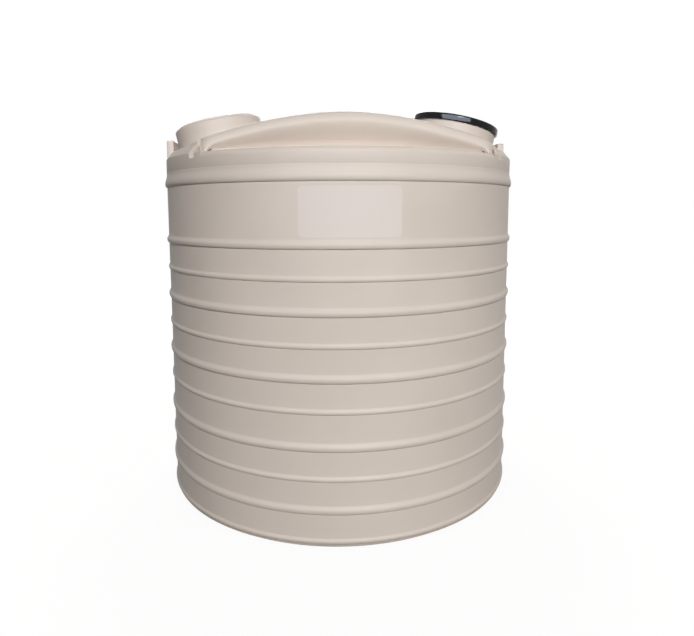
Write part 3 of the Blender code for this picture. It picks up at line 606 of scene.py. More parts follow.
def block(low, high):
    outline = [(low[0], low[1]), (high[0], low[1]), (high[0], high[1]), (low[0], high[1])]
    return prism(outline, low[2], high[2])


def moved(mesh, matrix):
    mesh.transform(matrix)
    return mesh


def rounded_block(low, high, edge, steps=3):
    """A block with every edge rounded."""
    shape = bmesh.new()
    shape.from_mesh(block(low, high))
    bmesh.ops.bevel(shape, geom=list(shape.edges), offset=edge, segments=steps, affect="EDGES", profile=0.5)
    mesh = bpy.data.meshes.new("block")
    shape.to_mesh(mesh)
    shape.free()
    return mesh


def held(name, mesh):
    """A mesh as an object in the scene."""
    made = bpy.data.objects.new(name, mesh)
    bpy.context.scene.collection.objects.link(made)
    return made


def combine(target, other, operation):
    """Joins, cuts or keeps a form by another, which is given as a mesh or as a form."""
    if isinstance(other, bpy.types.Mesh):
        other = held(f"{target.name}_{len(target.modifiers)}", other)
    modifier = target.modifiers.new(other.name, "BOOLEAN")
    modifier.operation = operation
    modifier.solver = "MANIFOLD"
    modifier.object = other
    return target


def settled(target):
    """The evaluated mesh of a form. The form and all that shaped it are removed."""
    depsgraph = bpy.context.evaluated_depsgraph_get()
    mesh = bpy.data.meshes.new_from_object(target.evaluated_get(depsgraph), depsgraph=depsgraph)
    used = [target]
    for form in used:
        used += [modifier.object for modifier in form.modifiers if modifier.type == "BOOLEAN"]
    for form in used:
        bpy.data.objects.remove(form, do_unlink=True)
    return mesh


def merged(meshes):
    """Several meshes as one."""
    shape = bmesh.new()
    for mesh in meshes:
        shape.from_mesh(mesh)
    made = bpy.data.meshes.new("merged")
    shape.to_mesh(made)
    shape.free()
    return made


def shaped(mesh, *steps):
    """A mesh joined to, cut by or kept within others, given as (operation, mesh)."""
    form = held("form", mesh)
    for operation, other in steps:
        combine(form, other, operation)
    return settled(form)


def curve(start, corner, end, steps):
    """Points of a short curve from start to end that rounds off a corner."""
    shares = [step / steps for step in range(steps + 1)]
    return [start * (1 - share) ** 2 + corner * (2 * share * (1 - share)) + end * share ** 2
            for share in shares]


def eased(outline, edge, closed=True, steps=3):
    """An outline with each corner rounded by a short curve."""
    points = []
    for step, corner in enumerate(outline):
        if not closed and step in (0, len(outline) - 1):
            points.append(corner)
            continue
        here = Vector(corner)
        ways = [Vector(outline[(step + way) % len(outline)]) - here for way in (-1, 1)]
        start, end = (here + way.normalized() * min(edge, CORNER_SHARE * way.length) for way in ways)
        points += [tuple(point) for point in curve(start, here, end, steps)]
    return points


def sleeve(inner, outer, low, high, edge=FINE_EDGE):
    """A washer or short tube with eased edges."""
    outline = [(inner, low), (outer, low), (outer, high), (inner, high)]
    return turned(eased(outline, edge), FITTING_SEGMENTS)


def hexagon_bar(flats, low, high):
    """A hexagon along Z whose corners are turned off at both ends."""
    corner = flats / math.sqrt(3)
    outline = [(corner * math.cos(math.radians(60 * side)), corner * math.sin(math.radians(60 * side)))
               for side in range(6)]
    slope = (corner - flats / 2) * math.tan(math.radians(30))
    cone = turned([(flats / 2, low), (corner + GAP, low + slope), (corner + GAP, high - slope),
                   (flats / 2, high)], FITTING_SEGMENTS, closed=False)
    return shaped(prism(outline, low, high), ("INTERSECT", cone))


def hexagon_nut(flats, bore, low, high):
    return shaped(hexagon_bar(flats, low, high), ("DIFFERENCE", cylinder(bore, low - CUT, high + CUT)))


def piece(name, mesh, slot, replaced, body=FIXED_BODY, sharp=SHARP_ANGLE):
    """A finished piece that rides on a body and stands for CAD nodes."""
    made = bpy.data.objects.new(name, mesh)
    bpy.context.scene.collection.objects.link(made)
    mesh.materials.clear()
    mesh.materials.append(FINISHES[slot]())
    mesh.polygons.foreach_set("material_index", [0] * len(mesh.polygons))
    mesh.shade_smooth()
    mesh.set_sharp_from_angle(angle=math.radians(sharp))
    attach(made, body)
    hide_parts(*replaced)
    return made


def rib_places(form):
    """Every rib's crest height, size and reach above the crest, from the base up."""
    narrow = (NARROW_RIB_HEIGHT, form.narrow_rib, RIB_ABOVE * NARROW_RIB_HEIGHT)
    wide = (WIDE_RIB_HEIGHT, form.wide_rib, RIB_ABOVE * WIDE_RIB_HEIGHT)
    lowest = BASE_CHAMFER_HEIGHT + BASE_RIB_RISE
    heights = [lowest + LOWER_RIB_PITCH * step for step in range(LOWER_RIBS)]
    first = heights[-1] + WAIST
    last = form.ledge_height - UPPER_RIB_DROP
    heights += [first + (last - first) * step / (UPPER_RIBS - 1) for step in range(UPPER_RIBS)]
    places = [(height, *(narrow, wide)[count % 2]) for count, height in enumerate(heights)]
    top = (form.ledge_height - TOP_RIB_DROP, WIDE_RIB_HEIGHT, form.wide_rib, TOP_RIB_ABOVE)
    return places + [top]


def rib_outline(radius, crest, tall, deep, above):
    """A rib's section from its foot up: a quarter ellipse under the crest, an S curve above it."""
    below = RIB_BELOW * tall
    points = []
    for step in range(UNDER_STEPS + 1):
        turn = math.pi / 2 * step / UNDER_STEPS
        points.append((radius + deep * math.sin(turn), crest - below * math.cos(turn)))
    for step in range(1, OVER_STEPS + 1):
        share = step / OVER_STEPS
        points.append((radius + deep * (0.5 + 0.5 * math.cos(math.pi * share)), crest + above * share))
    return points


def wall_profile(form, inset):
    """Outline of the ribbed body from its base to the flat pads. The cavity has no ribs."""
    radius = form.radius - inset
    top = form.ledge_height + PAD_RISE - inset
    points = [(radius - BASE_CHAMFER, inset), (radius, BASE_CHAMFER_HEIGHT + inset)]
    if not inset:
        for crest, tall, deep, above in rib_places(form):
            points += rib_outline(radius, crest, tall, deep, above)
        parting = form.ledge_height - PARTING_DROP
        points += [(radius, parting - PARTING_WIDTH / 2), (radius - PARTING_DEPTH, parting),
                   (radius, parting + PARTING_WIDTH / 2)]
    wide, tall = PAD_CHAMFER
    edge = [(radius, top - 2 * tall), (radius, top - tall), (radius - wide, top), (radius - 2 * wide, top)]
    return points + eased(edge, PAD_EDGE, closed=False)[1:]


def ledge_cutter(form, inset, segments):
    """The recesses above the ledge, before and behind the bridge, with rounded ends."""
    radius = form.radius - inset
    level = form.ledge_height - inset
    foot = level - LEDGE_FILLET
    clear = form.radius + CUT
    high = form.ledge_height + form.bridge_rise + CUT
    outline = [(0, high), (clear, high), (clear, foot)]
    outline += arc((radius - LEDGE_FILLET, foot), LEDGE_FILLET, 0, 90) + [(0, level)]
    cutter = held("ledge_cutter", turned(outline, segments, closed=False))
    reach = LEDGE_REACH + inset
    side = LEDGE_END_FILLET
    section = [(reach - side, foot - CUT)] + arc((reach - side, level + side), side, -90, 0)
    section += arc((reach + side, level + PAD_RISE - side), side, 180, 90) + [(reach + side, high + CUT)]
    section += [(-along, height) for along, height in reversed(section)]
    ends = (-clear - CUT, clear + CUT)
    span = loft([[Vector((along, end, height)) for along, height in section] for end in ends])
    return combine(cutter, span, "INTERSECT")


def bridge_height(form, x, y):
    """Top of the bridge before its edges are rounded."""
    along = ARCH_DROP * (abs(x) / form.radius) ** ARCH_POWER
    across = CROSS_FALL * (y / form.radius) ** 2
    return form.ledge_height + form.bridge_rise - along - across


def brow_drop(inside):
    """How far the rounded brow has fallen at a place this far inside the edge."""
    reach = min(max(1 - inside / BROW_WIDTH, 0), 1)
    return BROW_HEIGHT * (1 - math.sqrt(1 - reach * reach))


def undercut(share, height):
    """How far a face stands back under its brow, at a share of its height there."""
    hollow = abs(math.sin(math.pi * min(share, 1) ** UNDERCUT_POWER)) ** UNDERCUT_CREASE
    return UNDERCUT * hollow * min(height / UNDERCUT_FADE, 1)


def face_rows(form, steps, face_steps, crown_rows):
    """Rows from the ledge to the crown's middle as (distance from the axis, share).

    The share runs from 0 at the ledge to 1 at the brow's foot and 2 on the bridge's top.
    """
    face = form.face_distance
    turns = [math.pi / 2 * step / steps for step in range(steps + 1)]
    cove = [(face + COVE * (1 - math.sin(turn)), COVE_SHARE * (1 - math.cos(turn))) for turn in turns]
    cove += [(face, COVE_SHARE + (1 - COVE_SHARE) * row / face_steps) for row in range(1, face_steps)]
    brow = [(face - BROW_WIDTH * (1 - math.cos(turn)), 1 + math.sin(turn)) for turn in turns]
    crown = [((face - BROW_WIDTH) * row / crown_rows, 2) for row in range(crown_rows - 1, -1, -1)]
    return cove + brow + crown


def bridge_form(form, inset):
    """The arched bridge with its rounded brows and coved faces, closed by a flat foot."""
    radius = form.radius - BRIDGE_SETBACK - inset
    columns = CAVITY_COLUMNS if inset else BRIDGE_COLUMNS
    half = (face_rows(form, CAVITY_ROUND_STEPS, CAVITY_FACE_STEPS, CAVITY_CROWN_ROWS) if inset else
            face_rows(form, ROUND_STEPS, FACE_STEPS, CROWN_ROWS))
    rows = [(-distance, share) for distance, share in half] + half[-2::-1]
    level = form.ledge_height - inset - SINK
    foot = form.ledge_height - inset - BRIDGE_ROOT
    places = [math.sin(math.pi * (step / columns - 0.5)) for step in range(columns + 1)]
    points = []
    for distance, share in rows:
        y = distance - math.copysign(inset, distance) if distance else 0.0
        reach = math.sqrt(radius * radius - y * y)
        for x in [place * reach for place in places]:
            crown = bridge_height(form, x, y) - brow_drop(radius - math.hypot(x, y)) - inset
            brow = max(crown - BROW_HEIGHT, level)
            z = level + (brow - level) * share if share <= 1 else brow + (crown - brow) * (share - 1)
            points.append((x, y - math.copysign(undercut(share, brow - level), y), max(z, level)))
    wide = columns + 1
    last = len(rows) - 1
    faces = [(row * wide + step, row * wide + step + 1, (row + 1) * wide + step + 1, (row + 1) * wide + step)
             for row in range(last) for step in range(columns)]
    rim = list(range(wide)) + [row * wide + columns for row in range(1, last + 1)]
    rim += [last * wide + step for step in range(columns - 1, -1, -1)]
    rim += [row * wide for row in range(last - 1, 0, -1)]
    start = len(points)
    points += [(points[corner][0], points[corner][1], foot) for corner in rim]
    for step, corner in enumerate(rim):
        after = (step + 1) % len(rim)
        faces.append((corner, rim[after], start + after, start + step))
    faces.append([start + step for step in range(len(rim))])
    mesh = bpy.data.meshes.new("bridge")
    mesh.from_pydata(points, [], faces)
    return outward(mesh)


def collar_matrix(form, side):
    """Frame of a collar's rim: local Z along its axis, side is +1 or -1."""
    distance = form.radius - COLLAR_SETBACK
    height = bridge_height(form, distance, 0) + COLLAR_STAND
    tilt = Matrix.Rotation(side * form.collar_tilt, 4, "Y")
    return Matrix.Translation((side * distance, 0, height)) @ tilt


def roof_height(form, x, y):
    """The roof round the collars: the bridge, or the flat pads where it has sunk into them."""
    crown = bridge_height(form, x, y) - brow_drop(form.radius - BRIDGE_SETBACK - math.hypot(x, y))
    return max(crown, form.ledge_height + PAD_RISE)


def collar_line(form, place, spoke):
    """Points up one line of a collar: its buried skirt, the fillet at the roof, then the wall."""
    def wall(height):
        return place @ (spoke * form.collar_radius + Vector((0, 0, height)))

    low = -COLLAR_STAND - COLLAR_ROOT
    high = 0.0
    for _ in range(FOOT_HALVINGS):
        middle = (low + high) / 2
        point = wall(middle)
        if point.z > roof_height(form, point.x, point.y):
            high = middle
        else:
            low = middle
    corner = wall(high)
    away = place.to_3x3() @ spoke
    away.z = 0
    end = corner + away.normalized() * COLLAR_FILLET
    end.z = roof_height(form, end.x, end.y) - SINK / 2
    start = wall(high + COLLAR_FILLET)
    return [Vector((end.x, end.y, COLLAR_SKIRT_LEVEL))] + curve(start, corner, end, FILLET_STEPS)[::-1]


def collar_form(form, side, inset):
    place = collar_matrix(form, side)
    segments = CAVITY_SEGMENTS if inset else COLLAR_SEGMENTS
    radius = form.collar_radius - inset
    edge = COLLAR_EDGE - inset / 2
    rim = arc((radius - edge, -inset - edge), edge, 0, 90)
    if inset:
        profile = [(radius, -COLLAR_STAND - COLLAR_ROOT)] + rim
        return moved(turned(profile, segments, closed=False), place)
    lines = [collar_line(form, place, spoke) for spoke in ring_points(1.0, segments)]
    rings = [list(ring) for ring in zip(*lines)]
    rings += [[place @ point for point in ring_points(across, segments, height)] for across, height in rim]
    return loft(rings)


def notch_form(form, angle, margin):
    """Upright slot in the wall's top edge at a corner of the bridge, grown by margin."""
    half = NOTCH_WIDTH / 2 + margin
    shape = block((-half, -form.radius - CUT, form.ledge_height - NOTCH_DROP - margin),
                  (half, -form.radius + NOTCH_DEPTH + margin, form.ledge_height + PAD_RISE + CUT))
    return moved(shape, Matrix.Rotation(math.radians(angle), 4, "Z"))


def tank_form(form, name, inset):
    """The whole moulded form, moved in by inset: the outside at 0 and the cavity at WALL."""
    segments = CAVITY_SEGMENTS if inset else form.segments
    made = held(name, turned(wall_profile(form, inset), segments, closed=False))
    combine(made, ledge_cutter(form, inset, segments), "DIFFERENCE")
    combine(made, bridge_form(form, inset), "UNION")
    for side in (1, -1):
        combine(made, collar_form(form, side, inset), "UNION")
    for angle in (NOTCH_ANGLE, -NOTCH_ANGLE, 180 - NOTCH_ANGLE, 180 + NOTCH_ANGLE):
        combine(made, notch_form(form, angle, inset), "DIFFERENCE")
    return made


def fitting_matrix(height):
    """Local Z points out through the back wall."""
    return Matrix.Translation((0, 0, height)) @ Matrix.Rotation(math.radians(-90), 4, "X")


class TANK_OT_shell(bpy.types.Operator):
    """Mould the ribbed tank with its bridge, collars, notches, lugs and bosses"""
    bl_idname = "tank.shell"
    bl_label = "Moulded tank"

    def execute(self, context):
        form = context.scene.tank_form
        shell = tank_form(form, "shell_form", 0.0)
        pad = form.ledge_height + PAD_RISE
        for side in (1, -1):
            outer = form.radius - LUG_SETBACK
            ends = (side * (outer - LUG_THICKNESS), side * outer)
            lug = rounded_block((min(ends), -LUG_WIDTH / 2, pad - PAD_RISE),
                                (max(ends), LUG_WIDTH / 2, pad + LUG_RISE), LUG_EDGE)
            combine(shell, lug, "UNION")
        inside = form.radius - CUT
        face = form.radius + BOSS_PROUD
        fittings = ((OUTLET_HEIGHT, OUTLET_TAIL_RADIUS, OUTLET_FLANGE_RADIUS + FLANGE_PLAY),
                    (form.ledge_height - OVERFLOW_DROP, OVERFLOW_TAIL_RADIUS,
                     OVERFLOW_FLANGE_RADIUS + FLANGE_PLAY))
        for height, _, seat in fittings:
            rim = seat + WALL
            outline = [(rim, inside)] + arc((rim - BOSS_EDGE, face - BOSS_EDGE), BOSS_EDGE, 0, 90)
            boss = turned(outline, FITTING_SEGMENTS, closed=False)
            combine(shell, moved(boss, fitting_matrix(height)), "UNION")
        combine(shell, tank_form(form, "cavity_form", WALL), "DIFFERENCE")
        for height, tail, seat in fittings:
            for cutter in (cylinder(seat, inside, face - BOSS_THICKNESS),
                           cylinder(tail + GAP, inside - CUT, face + CUT)):
                combine(shell, moved(cutter, fitting_matrix(height)), "DIFFERENCE")
        for side in (1, -1):
            hole = cylinder(form.collar_radius - COLLAR_LIP, -CUT, CUT, COLLAR_SEGMENTS)
            combine(shell, moved(hole, collar_matrix(form, side)), "DIFFERENCE")
        piece("moulded_tank", settled(shell), "beige_polyethylene", ["tank_shell"])
        return {"FINISHED"}


# Strainer ring over the right collar
RING_OVERHANG = 0.011
RING_SKIRT = 0.008
RING_RISE = 0.026
RING_EDGE = 0.010
RING_FOOT_EDGE = 0.003
RING_FLOOR = 0.012
RING_LAP = 0.0025
RING_SEAT_WIDTH = 0.0215
RING_FOOT_STEPS = 4


class TANK_OT_ring(bpy.types.Operator):
    """Turn the glossy black ring over the right collar"""
    bl_idname = "tank.ring"
    bl_label = "Strainer ring"

    def execute(self, context):
        form = context.scene.tank_form
        bore = form.collar_radius + 2 * GAP
        outer = form.collar_radius + RING_OVERHANG
        throat = form.collar_radius - COLLAR_LIP - RING_LAP
        seat = throat + RING_SEAT_WIDTH
        low = RING_FOOT_EDGE - RING_SKIRT
        outline = [(bore, -RING_SKIRT)]
        outline += arc((outer - RING_FOOT_EDGE, low), RING_FOOT_EDGE, -90, 0, RING_FOOT_STEPS)
        outline += arc((outer - RING_EDGE, RING_RISE - RING_EDGE), RING_EDGE, 0, 90)
        outline += arc((seat + RING_FOOT_EDGE, RING_RISE - RING_FOOT_EDGE), RING_FOOT_EDGE, 90, 180,
                       RING_FOOT_STEPS)
        outline += [(seat, RING_FLOOR), (throat, RING_FLOOR), (throat, GAP), (bore, GAP)]
        ring = moved(turned(outline, COLLAR_SEGMENTS), collar_matrix(form, 1))
        piece("ring_over_collar", ring, "black_plastic", ["strainer_ring"])
        return {"FINISHED"}


# Strainer basket
BASKET_PLAY = 0.0045
BASKET_FLANGE_PLAY = 0.005
BASKET_DEPTH = 0.150
BASKET_SHEET = 0.0016
BASKET_CORNER = 0.018
BASKET_CORNER_STEPS = 5
BASKET_EDGE = 0.0007
BASKET_BAND = 0.014
BASKET_WIRE = 0.0006
BASKET_PITCH = 0.0065
BASKET_UPRIGHTS = 170
HOOP_SEGMENTS = 96
SHORTEST_CHORD = 0.0001

# Lid
LID_LAP = 0.021
LID_SHEET = 0.005
LID_CROWN = 0.004
LID_CROWN_SLOPE = 0.030
LID_EDGE = 0.0025
LID_LIP = 0.003
LID_PLAY = 0.003
LID_SPIGOT_DEPTH = 0.022
SEAL_SHEET = 0.0025
SEAL_WIDTH = 0.008

# Screws in the ring and the lid
SCREWS = 4
SCREW_FACET = 2
FRAME_COLLAR_FACETS = 28
SCREW_PHASE = math.tau * SCREW_FACET / FRAME_COLLAR_FACETS
SCREW_RADIUS = 0.0025
SCREW_HEAD_RADIUS = 0.0055
SCREW_HEAD_HEIGHT = 0.0035
SCREW_SEGMENTS = 24
SCREW_RIM = 0.25
SCREW_DOME_TURN = 12
SCREW_DOME_STEPS = 8
SCREW_RECESS = (0.0011, 0.0062, 0.0018)
SCREW_SEED = 7


def copies_round():
    """Tree: copies of the source round Z, each spun by a fixed random angle."""
    growth = Growth("copies_round")
    count, radius, phase = growth.given("Count", "Int"), growth.given("Radius"), growth.given("Phase")
    spin, seed = growth.given("Spin"), growth.given("Seed", "Int")
    index = growth.node("GeometryNodeInputIndex")
    angle = index * math.tau / count + phase
    place = growth.joined(growth.math("COSINE", angle) * radius, growth.math("SINE", angle) * radius, 0.0)
    points = growth.node("GeometryNodePoints", inputs={"Count": count, "Position": place})
    random = growth.node("FunctionNodeRandomValue", {"data_type": "FLOAT"},
                         {2: 0.0, 3: math.tau, "Seed": seed}, output=1)
    return growth.end(growth.placed(points, growth.source, Rotation=growth.turn(angle + random * spin)))


def crossed_wires(growth, radius, pitch, height):
    """Straight wires both ways over a disc."""
    count = growth.math("FLOOR", radius / pitch) * 2 + 1
    first = growth.math("FLOOR", radius / pitch) * pitch * -1
    line = growth.node("GeometryNodeMeshLine", inputs={"Count": count, "Start Location":
                       growth.joined(first, 0.0, height), "Offset": growth.joined(pitch, 0.0, 0.0)})
    place = growth.node("ShaderNodeSeparateXYZ", inputs={0: growth.node("GeometryNodeInputPosition")})
    chord = growth.math("SQRT", growth.math("MAXIMUM", 1 - (place / radius) ** 2.0, SHORTEST_CHORD))
    bar = growth.node("GeometryNodeCurvePrimitiveLine", inputs={"Start": growth.joined(0.0, radius * -1, 0.0),
                                                                "End": growth.joined(0.0, radius, 0.0)})
    along = growth.placed(line, bar, Scale=growth.joined(1.0, chord, 1.0))
    across = growth.node("GeometryNodeTransform", inputs={"Geometry": along, "Rotation": (0, 0, math.pi / 2)})
    return growth.together(along, across)


def wire_basket():
    """Tree: the source is one upright wire. Rings, and a floor of crossed wires, are added to its copies."""
    growth = Growth("wire_basket")
    uprights, rings = growth.given("Uprights", "Int"), growth.given("Rings", "Int")
    radius, floor, wire = growth.given("Radius"), growth.given("Floor radius"), growth.given("Wire")
    pitch, top, bottom = growth.given("Pitch"), growth.given("Top"), growth.given("Bottom")
    index = growth.node("GeometryNodeInputIndex")
    spokes = growth.node("GeometryNodePoints", inputs={"Count": uprights})
    upright = growth.node("GeometryNodeMeshToCurve", inputs={0: growth.source})
    walls = growth.placed(spokes, upright, Rotation=growth.turn(index * math.tau / uprights))
    levels = growth.node("GeometryNodeMeshLine", inputs={"Count": rings, "Start Location":
                         growth.joined(0.0, 0.0, top), "Offset": growth.joined(0.0, 0.0, pitch * -1)})
    hoops = growth.placed(levels, growth.circle(radius - wire, HOOP_SEGMENTS))
    base = crossed_wires(growth, floor, pitch, bottom)
    return growth.end(growth.wires(growth.together(walls, hoops, base), wire))


def wire_screen():
    """Tree: crossed wires over a disc, beside the source."""
    growth = Growth("wire_screen")
    wire, height = growth.given("Wire"), growth.given("Height")
    base = crossed_wires(growth, growth.given("Radius"), growth.given("Pitch"), height)
    return growth.end(growth.together(growth.source, growth.wires(base, wire)))


def screw_thread():
    """Tree: a helical ridge round Z, half sunk in the source."""
    growth = Growth("screw_thread")
    radius, depth, pitch = growth.given("Radius"), growth.given("Depth"), growth.given("Pitch")
    turns, low = growth.given("Turns"), growth.given("Low")
    coil = growth.node("GeometryNodeCurveSpiral",
                       inputs={"Resolution": THREAD_STEPS, "Rotations": turns, "Start Radius": radius,
                               "End Radius": radius, "Height": turns * pitch})
    ridge = growth.wires(coil, depth, THREAD_SIDES)
    ridge = growth.node("GeometryNodeTransform", inputs={"Geometry": ridge,
                                                         "Translation": growth.joined(0.0, 0.0, low)})
    return growth.end(growth.together(growth.source, ridge))


def screws(circle, seat):
    """Cross-recess screws round a circle, their heads on seat."""
    under = seat + GAP
    tall = SCREW_HEAD_HEIGHT
    outline = [(SCREW_RADIUS, 2 * GAP), (SCREW_RADIUS, under), (SCREW_HEAD_RADIUS, under)]
    for step in range(SCREW_DOME_STEPS):
        turn = math.radians(SCREW_DOME_TURN * step)
        rise = SCREW_RIM + (1 - SCREW_RIM) * math.sin(turn)
        outline.append((SCREW_HEAD_RADIUS * math.cos(turn), under + tall * rise))
    head = turned(outline + [(0, under + tall)], SCREW_SEGMENTS, closed=False)
    wide, long, deep = SCREW_RECESS
    low = under + tall - deep
    for half in ((wide / 2, long / 2), (long / 2, wide / 2)):
        head = shaped(head, ("DIFFERENCE", block((-half[0], -half[1], low), (*half, under + tall + deep))))
    return grown(copies_round(), head, "stainless", Count=SCREWS, Radius=circle, Phase=SCREW_PHASE,
                 Spin=1.0, Seed=SCREW_SEED)


class TANK_OT_basket(bpy.types.Operator):
    """Weave the stainless wire basket that hangs in the strainer ring, and screw the ring down"""
    bl_idname = "tank.basket"
    bl_label = "Strainer basket and screws"

    def execute(self, context):
        form = context.scene.tank_form
        place = collar_matrix(form, 1)
        throat = form.collar_radius - COLLAR_LIP - RING_LAP
        seat = throat + RING_SEAT_WIDTH
        rest = RING_FLOOR + GAP
        wall = throat - BASKET_PLAY
        inside = wall - BASKET_SHEET
        bottom = rest - BASKET_DEPTH + BASKET_SHEET / 2
        section = [(wall, rest - BASKET_BAND), (wall, rest), (seat - BASKET_FLANGE_PLAY, rest),
                   (seat - BASKET_FLANGE_PLAY, rest + BASKET_SHEET), (inside, rest + BASKET_SHEET),
                   (inside, rest - BASKET_BAND)]
        rim = turned(eased(section, BASKET_EDGE), COLLAR_SEGMENTS)
        corner = (wall - BASKET_SHEET / 2 - BASKET_CORNER, bottom + BASKET_CORNER)
        line = [(corner[0] + BASKET_CORNER, rest - BASKET_BAND / 2)]
        line += arc(corner, BASKET_CORNER, 0, -90, BASKET_CORNER_STEPS)
        upright = bpy.data.meshes.new("upright")
        upright.from_pydata([(across, 0, height) for across, height in line],
                            [(step, step + 1) for step in range(len(line) - 1)], [])
        rings = int((BASKET_DEPTH - BASKET_BAND - BASKET_CORNER) / BASKET_PITCH)
        mesh = grown(wire_basket(), upright, "stainless", Uprights=BASKET_UPRIGHTS, Rings=rings,
                     Wire=BASKET_WIRE, Radius=corner[0] + BASKET_CORNER, Pitch=BASKET_PITCH,
                     Top=rest - BASKET_BAND - BASKET_PITCH, Bottom=bottom,
                     **{"Floor radius": corner[0] + BASKET_CORNER / 2})
        piece("wire_basket", moved(merged([rim, mesh]), place), "stainless", ["strainer_basket"])
        circle = (seat + form.collar_radius) / 2
        piece("ring_screws", moved(screws(circle, RING_RISE), place), "stainless",
              [f"strainer_screw_{number}" for number in range(1, SCREWS + 1)])
        return {"FINISHED"}


class TANK_OT_lid(bpy.types.Operator):
    """Turn the moulded access lid and screw it down"""
    bl_idname = "tank.lid"
    bl_label = "Access lid and screws"

    def execute(self, context):
        form = context.scene.tank_form
        place = collar_matrix(form, -1)
        manhole = form.collar_radius - COLLAR_LIP
        low = SEAL_SHEET + 2 * GAP
        top = low + LID_SHEET
        radius = manhole + LID_LAP
        spigot = manhole - LID_PLAY
        section = [(0, low), (spigot - LID_SHEET, low), (spigot - LID_SHEET, low - LID_SPIGOT_DEPTH),
                   (spigot, low - LID_SPIGOT_DEPTH), (spigot, low), (radius - LID_LIP, low),
                   (radius - LID_LIP, GAP), (radius, GAP), (radius, top), (manhole, top),
                   (manhole - LID_CROWN_SLOPE, top + LID_CROWN), (0, top + LID_CROWN)]
        lid = turned(eased(section, LID_EDGE, closed=False, steps=5), COLLAR_SEGMENTS, closed=False)
        piece("moulded_lid", moved(lid, place), "beige_polyethylene", ["access_lid"])
        circle = manhole + (SEAL_WIDTH + LID_LAP) / 2
        piece("lid_screws", moved(screws(circle, top), place), "stainless",
              [f"lid_screw_{number}" for number in range(1, SCREWS + 1)])
        return {"FINISHED"}


# Outlet and its ball valve. Places along the outlet come from the frame.
OUTLET_BORE = 0.0160
FLANGE_THICKNESS = 0.006
BACK_NUT_WALL = 0.009
SOCKET_DEPTH = 0.018
SOCKET_WALL = 0.006
SOCKET_SHOULDER = 0.0055
HEXAGON_INSET = 0.0030
BALL_RADIUS = 0.0235
CHAMBER_RADIUS = 0.0243
VALVE_SHELL = 0.0065
BELLY_HALF_LENGTH = 0.013
BELLY_TAPER = 0.0015
END_CAP_SPIGOT = 0.009
STEM_RADIUS = 0.0065
PACKING_RADIUS = 0.0100
PACKING_DEPTH = 0.012
NECK_RADIUS = 0.0135
NECK_HEIGHT = 0.0460
PACKING_NUT_HEAD = 0.006
PACKING_NUT_SETBACK = 0.0015
THREAD_PITCH = 0.0023
THREAD_DEPTH = 0.0011
FINE_PITCH = 0.0012
FINE_DEPTH = 0.0005
THREAD_STEPS = 48
THREAD_SIDES = 6
OUTLET_TAIL_EDGE = 0.0007
VALVE_BODY_EDGE = 0.0016
END_CAP_EDGE = 0.0010


def reach_of(node, axis=1):
    """Where a node starts and ends along an axis of the frame."""
    low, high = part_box(node)
    return low[axis], high[axis]


def thread(mesh, slot, radius, depth, pitch, low, high):
    return grown(screw_thread(), mesh, slot, Radius=radius, Depth=depth, Pitch=pitch, Low=low,
                 Turns=(high - low) / pitch)


def flanged_tube(bore, tail, flange, low, high, edge):
    """The tail of a wall fitting, with the flange at its inner end."""
    seat = low + FLANGE_THICKNESS
    section = [(bore, low), (flange, low), (flange, seat), (tail, seat), (tail, high), (bore, high)]
    return turned(eased(section, edge), FITTING_SEGMENTS)


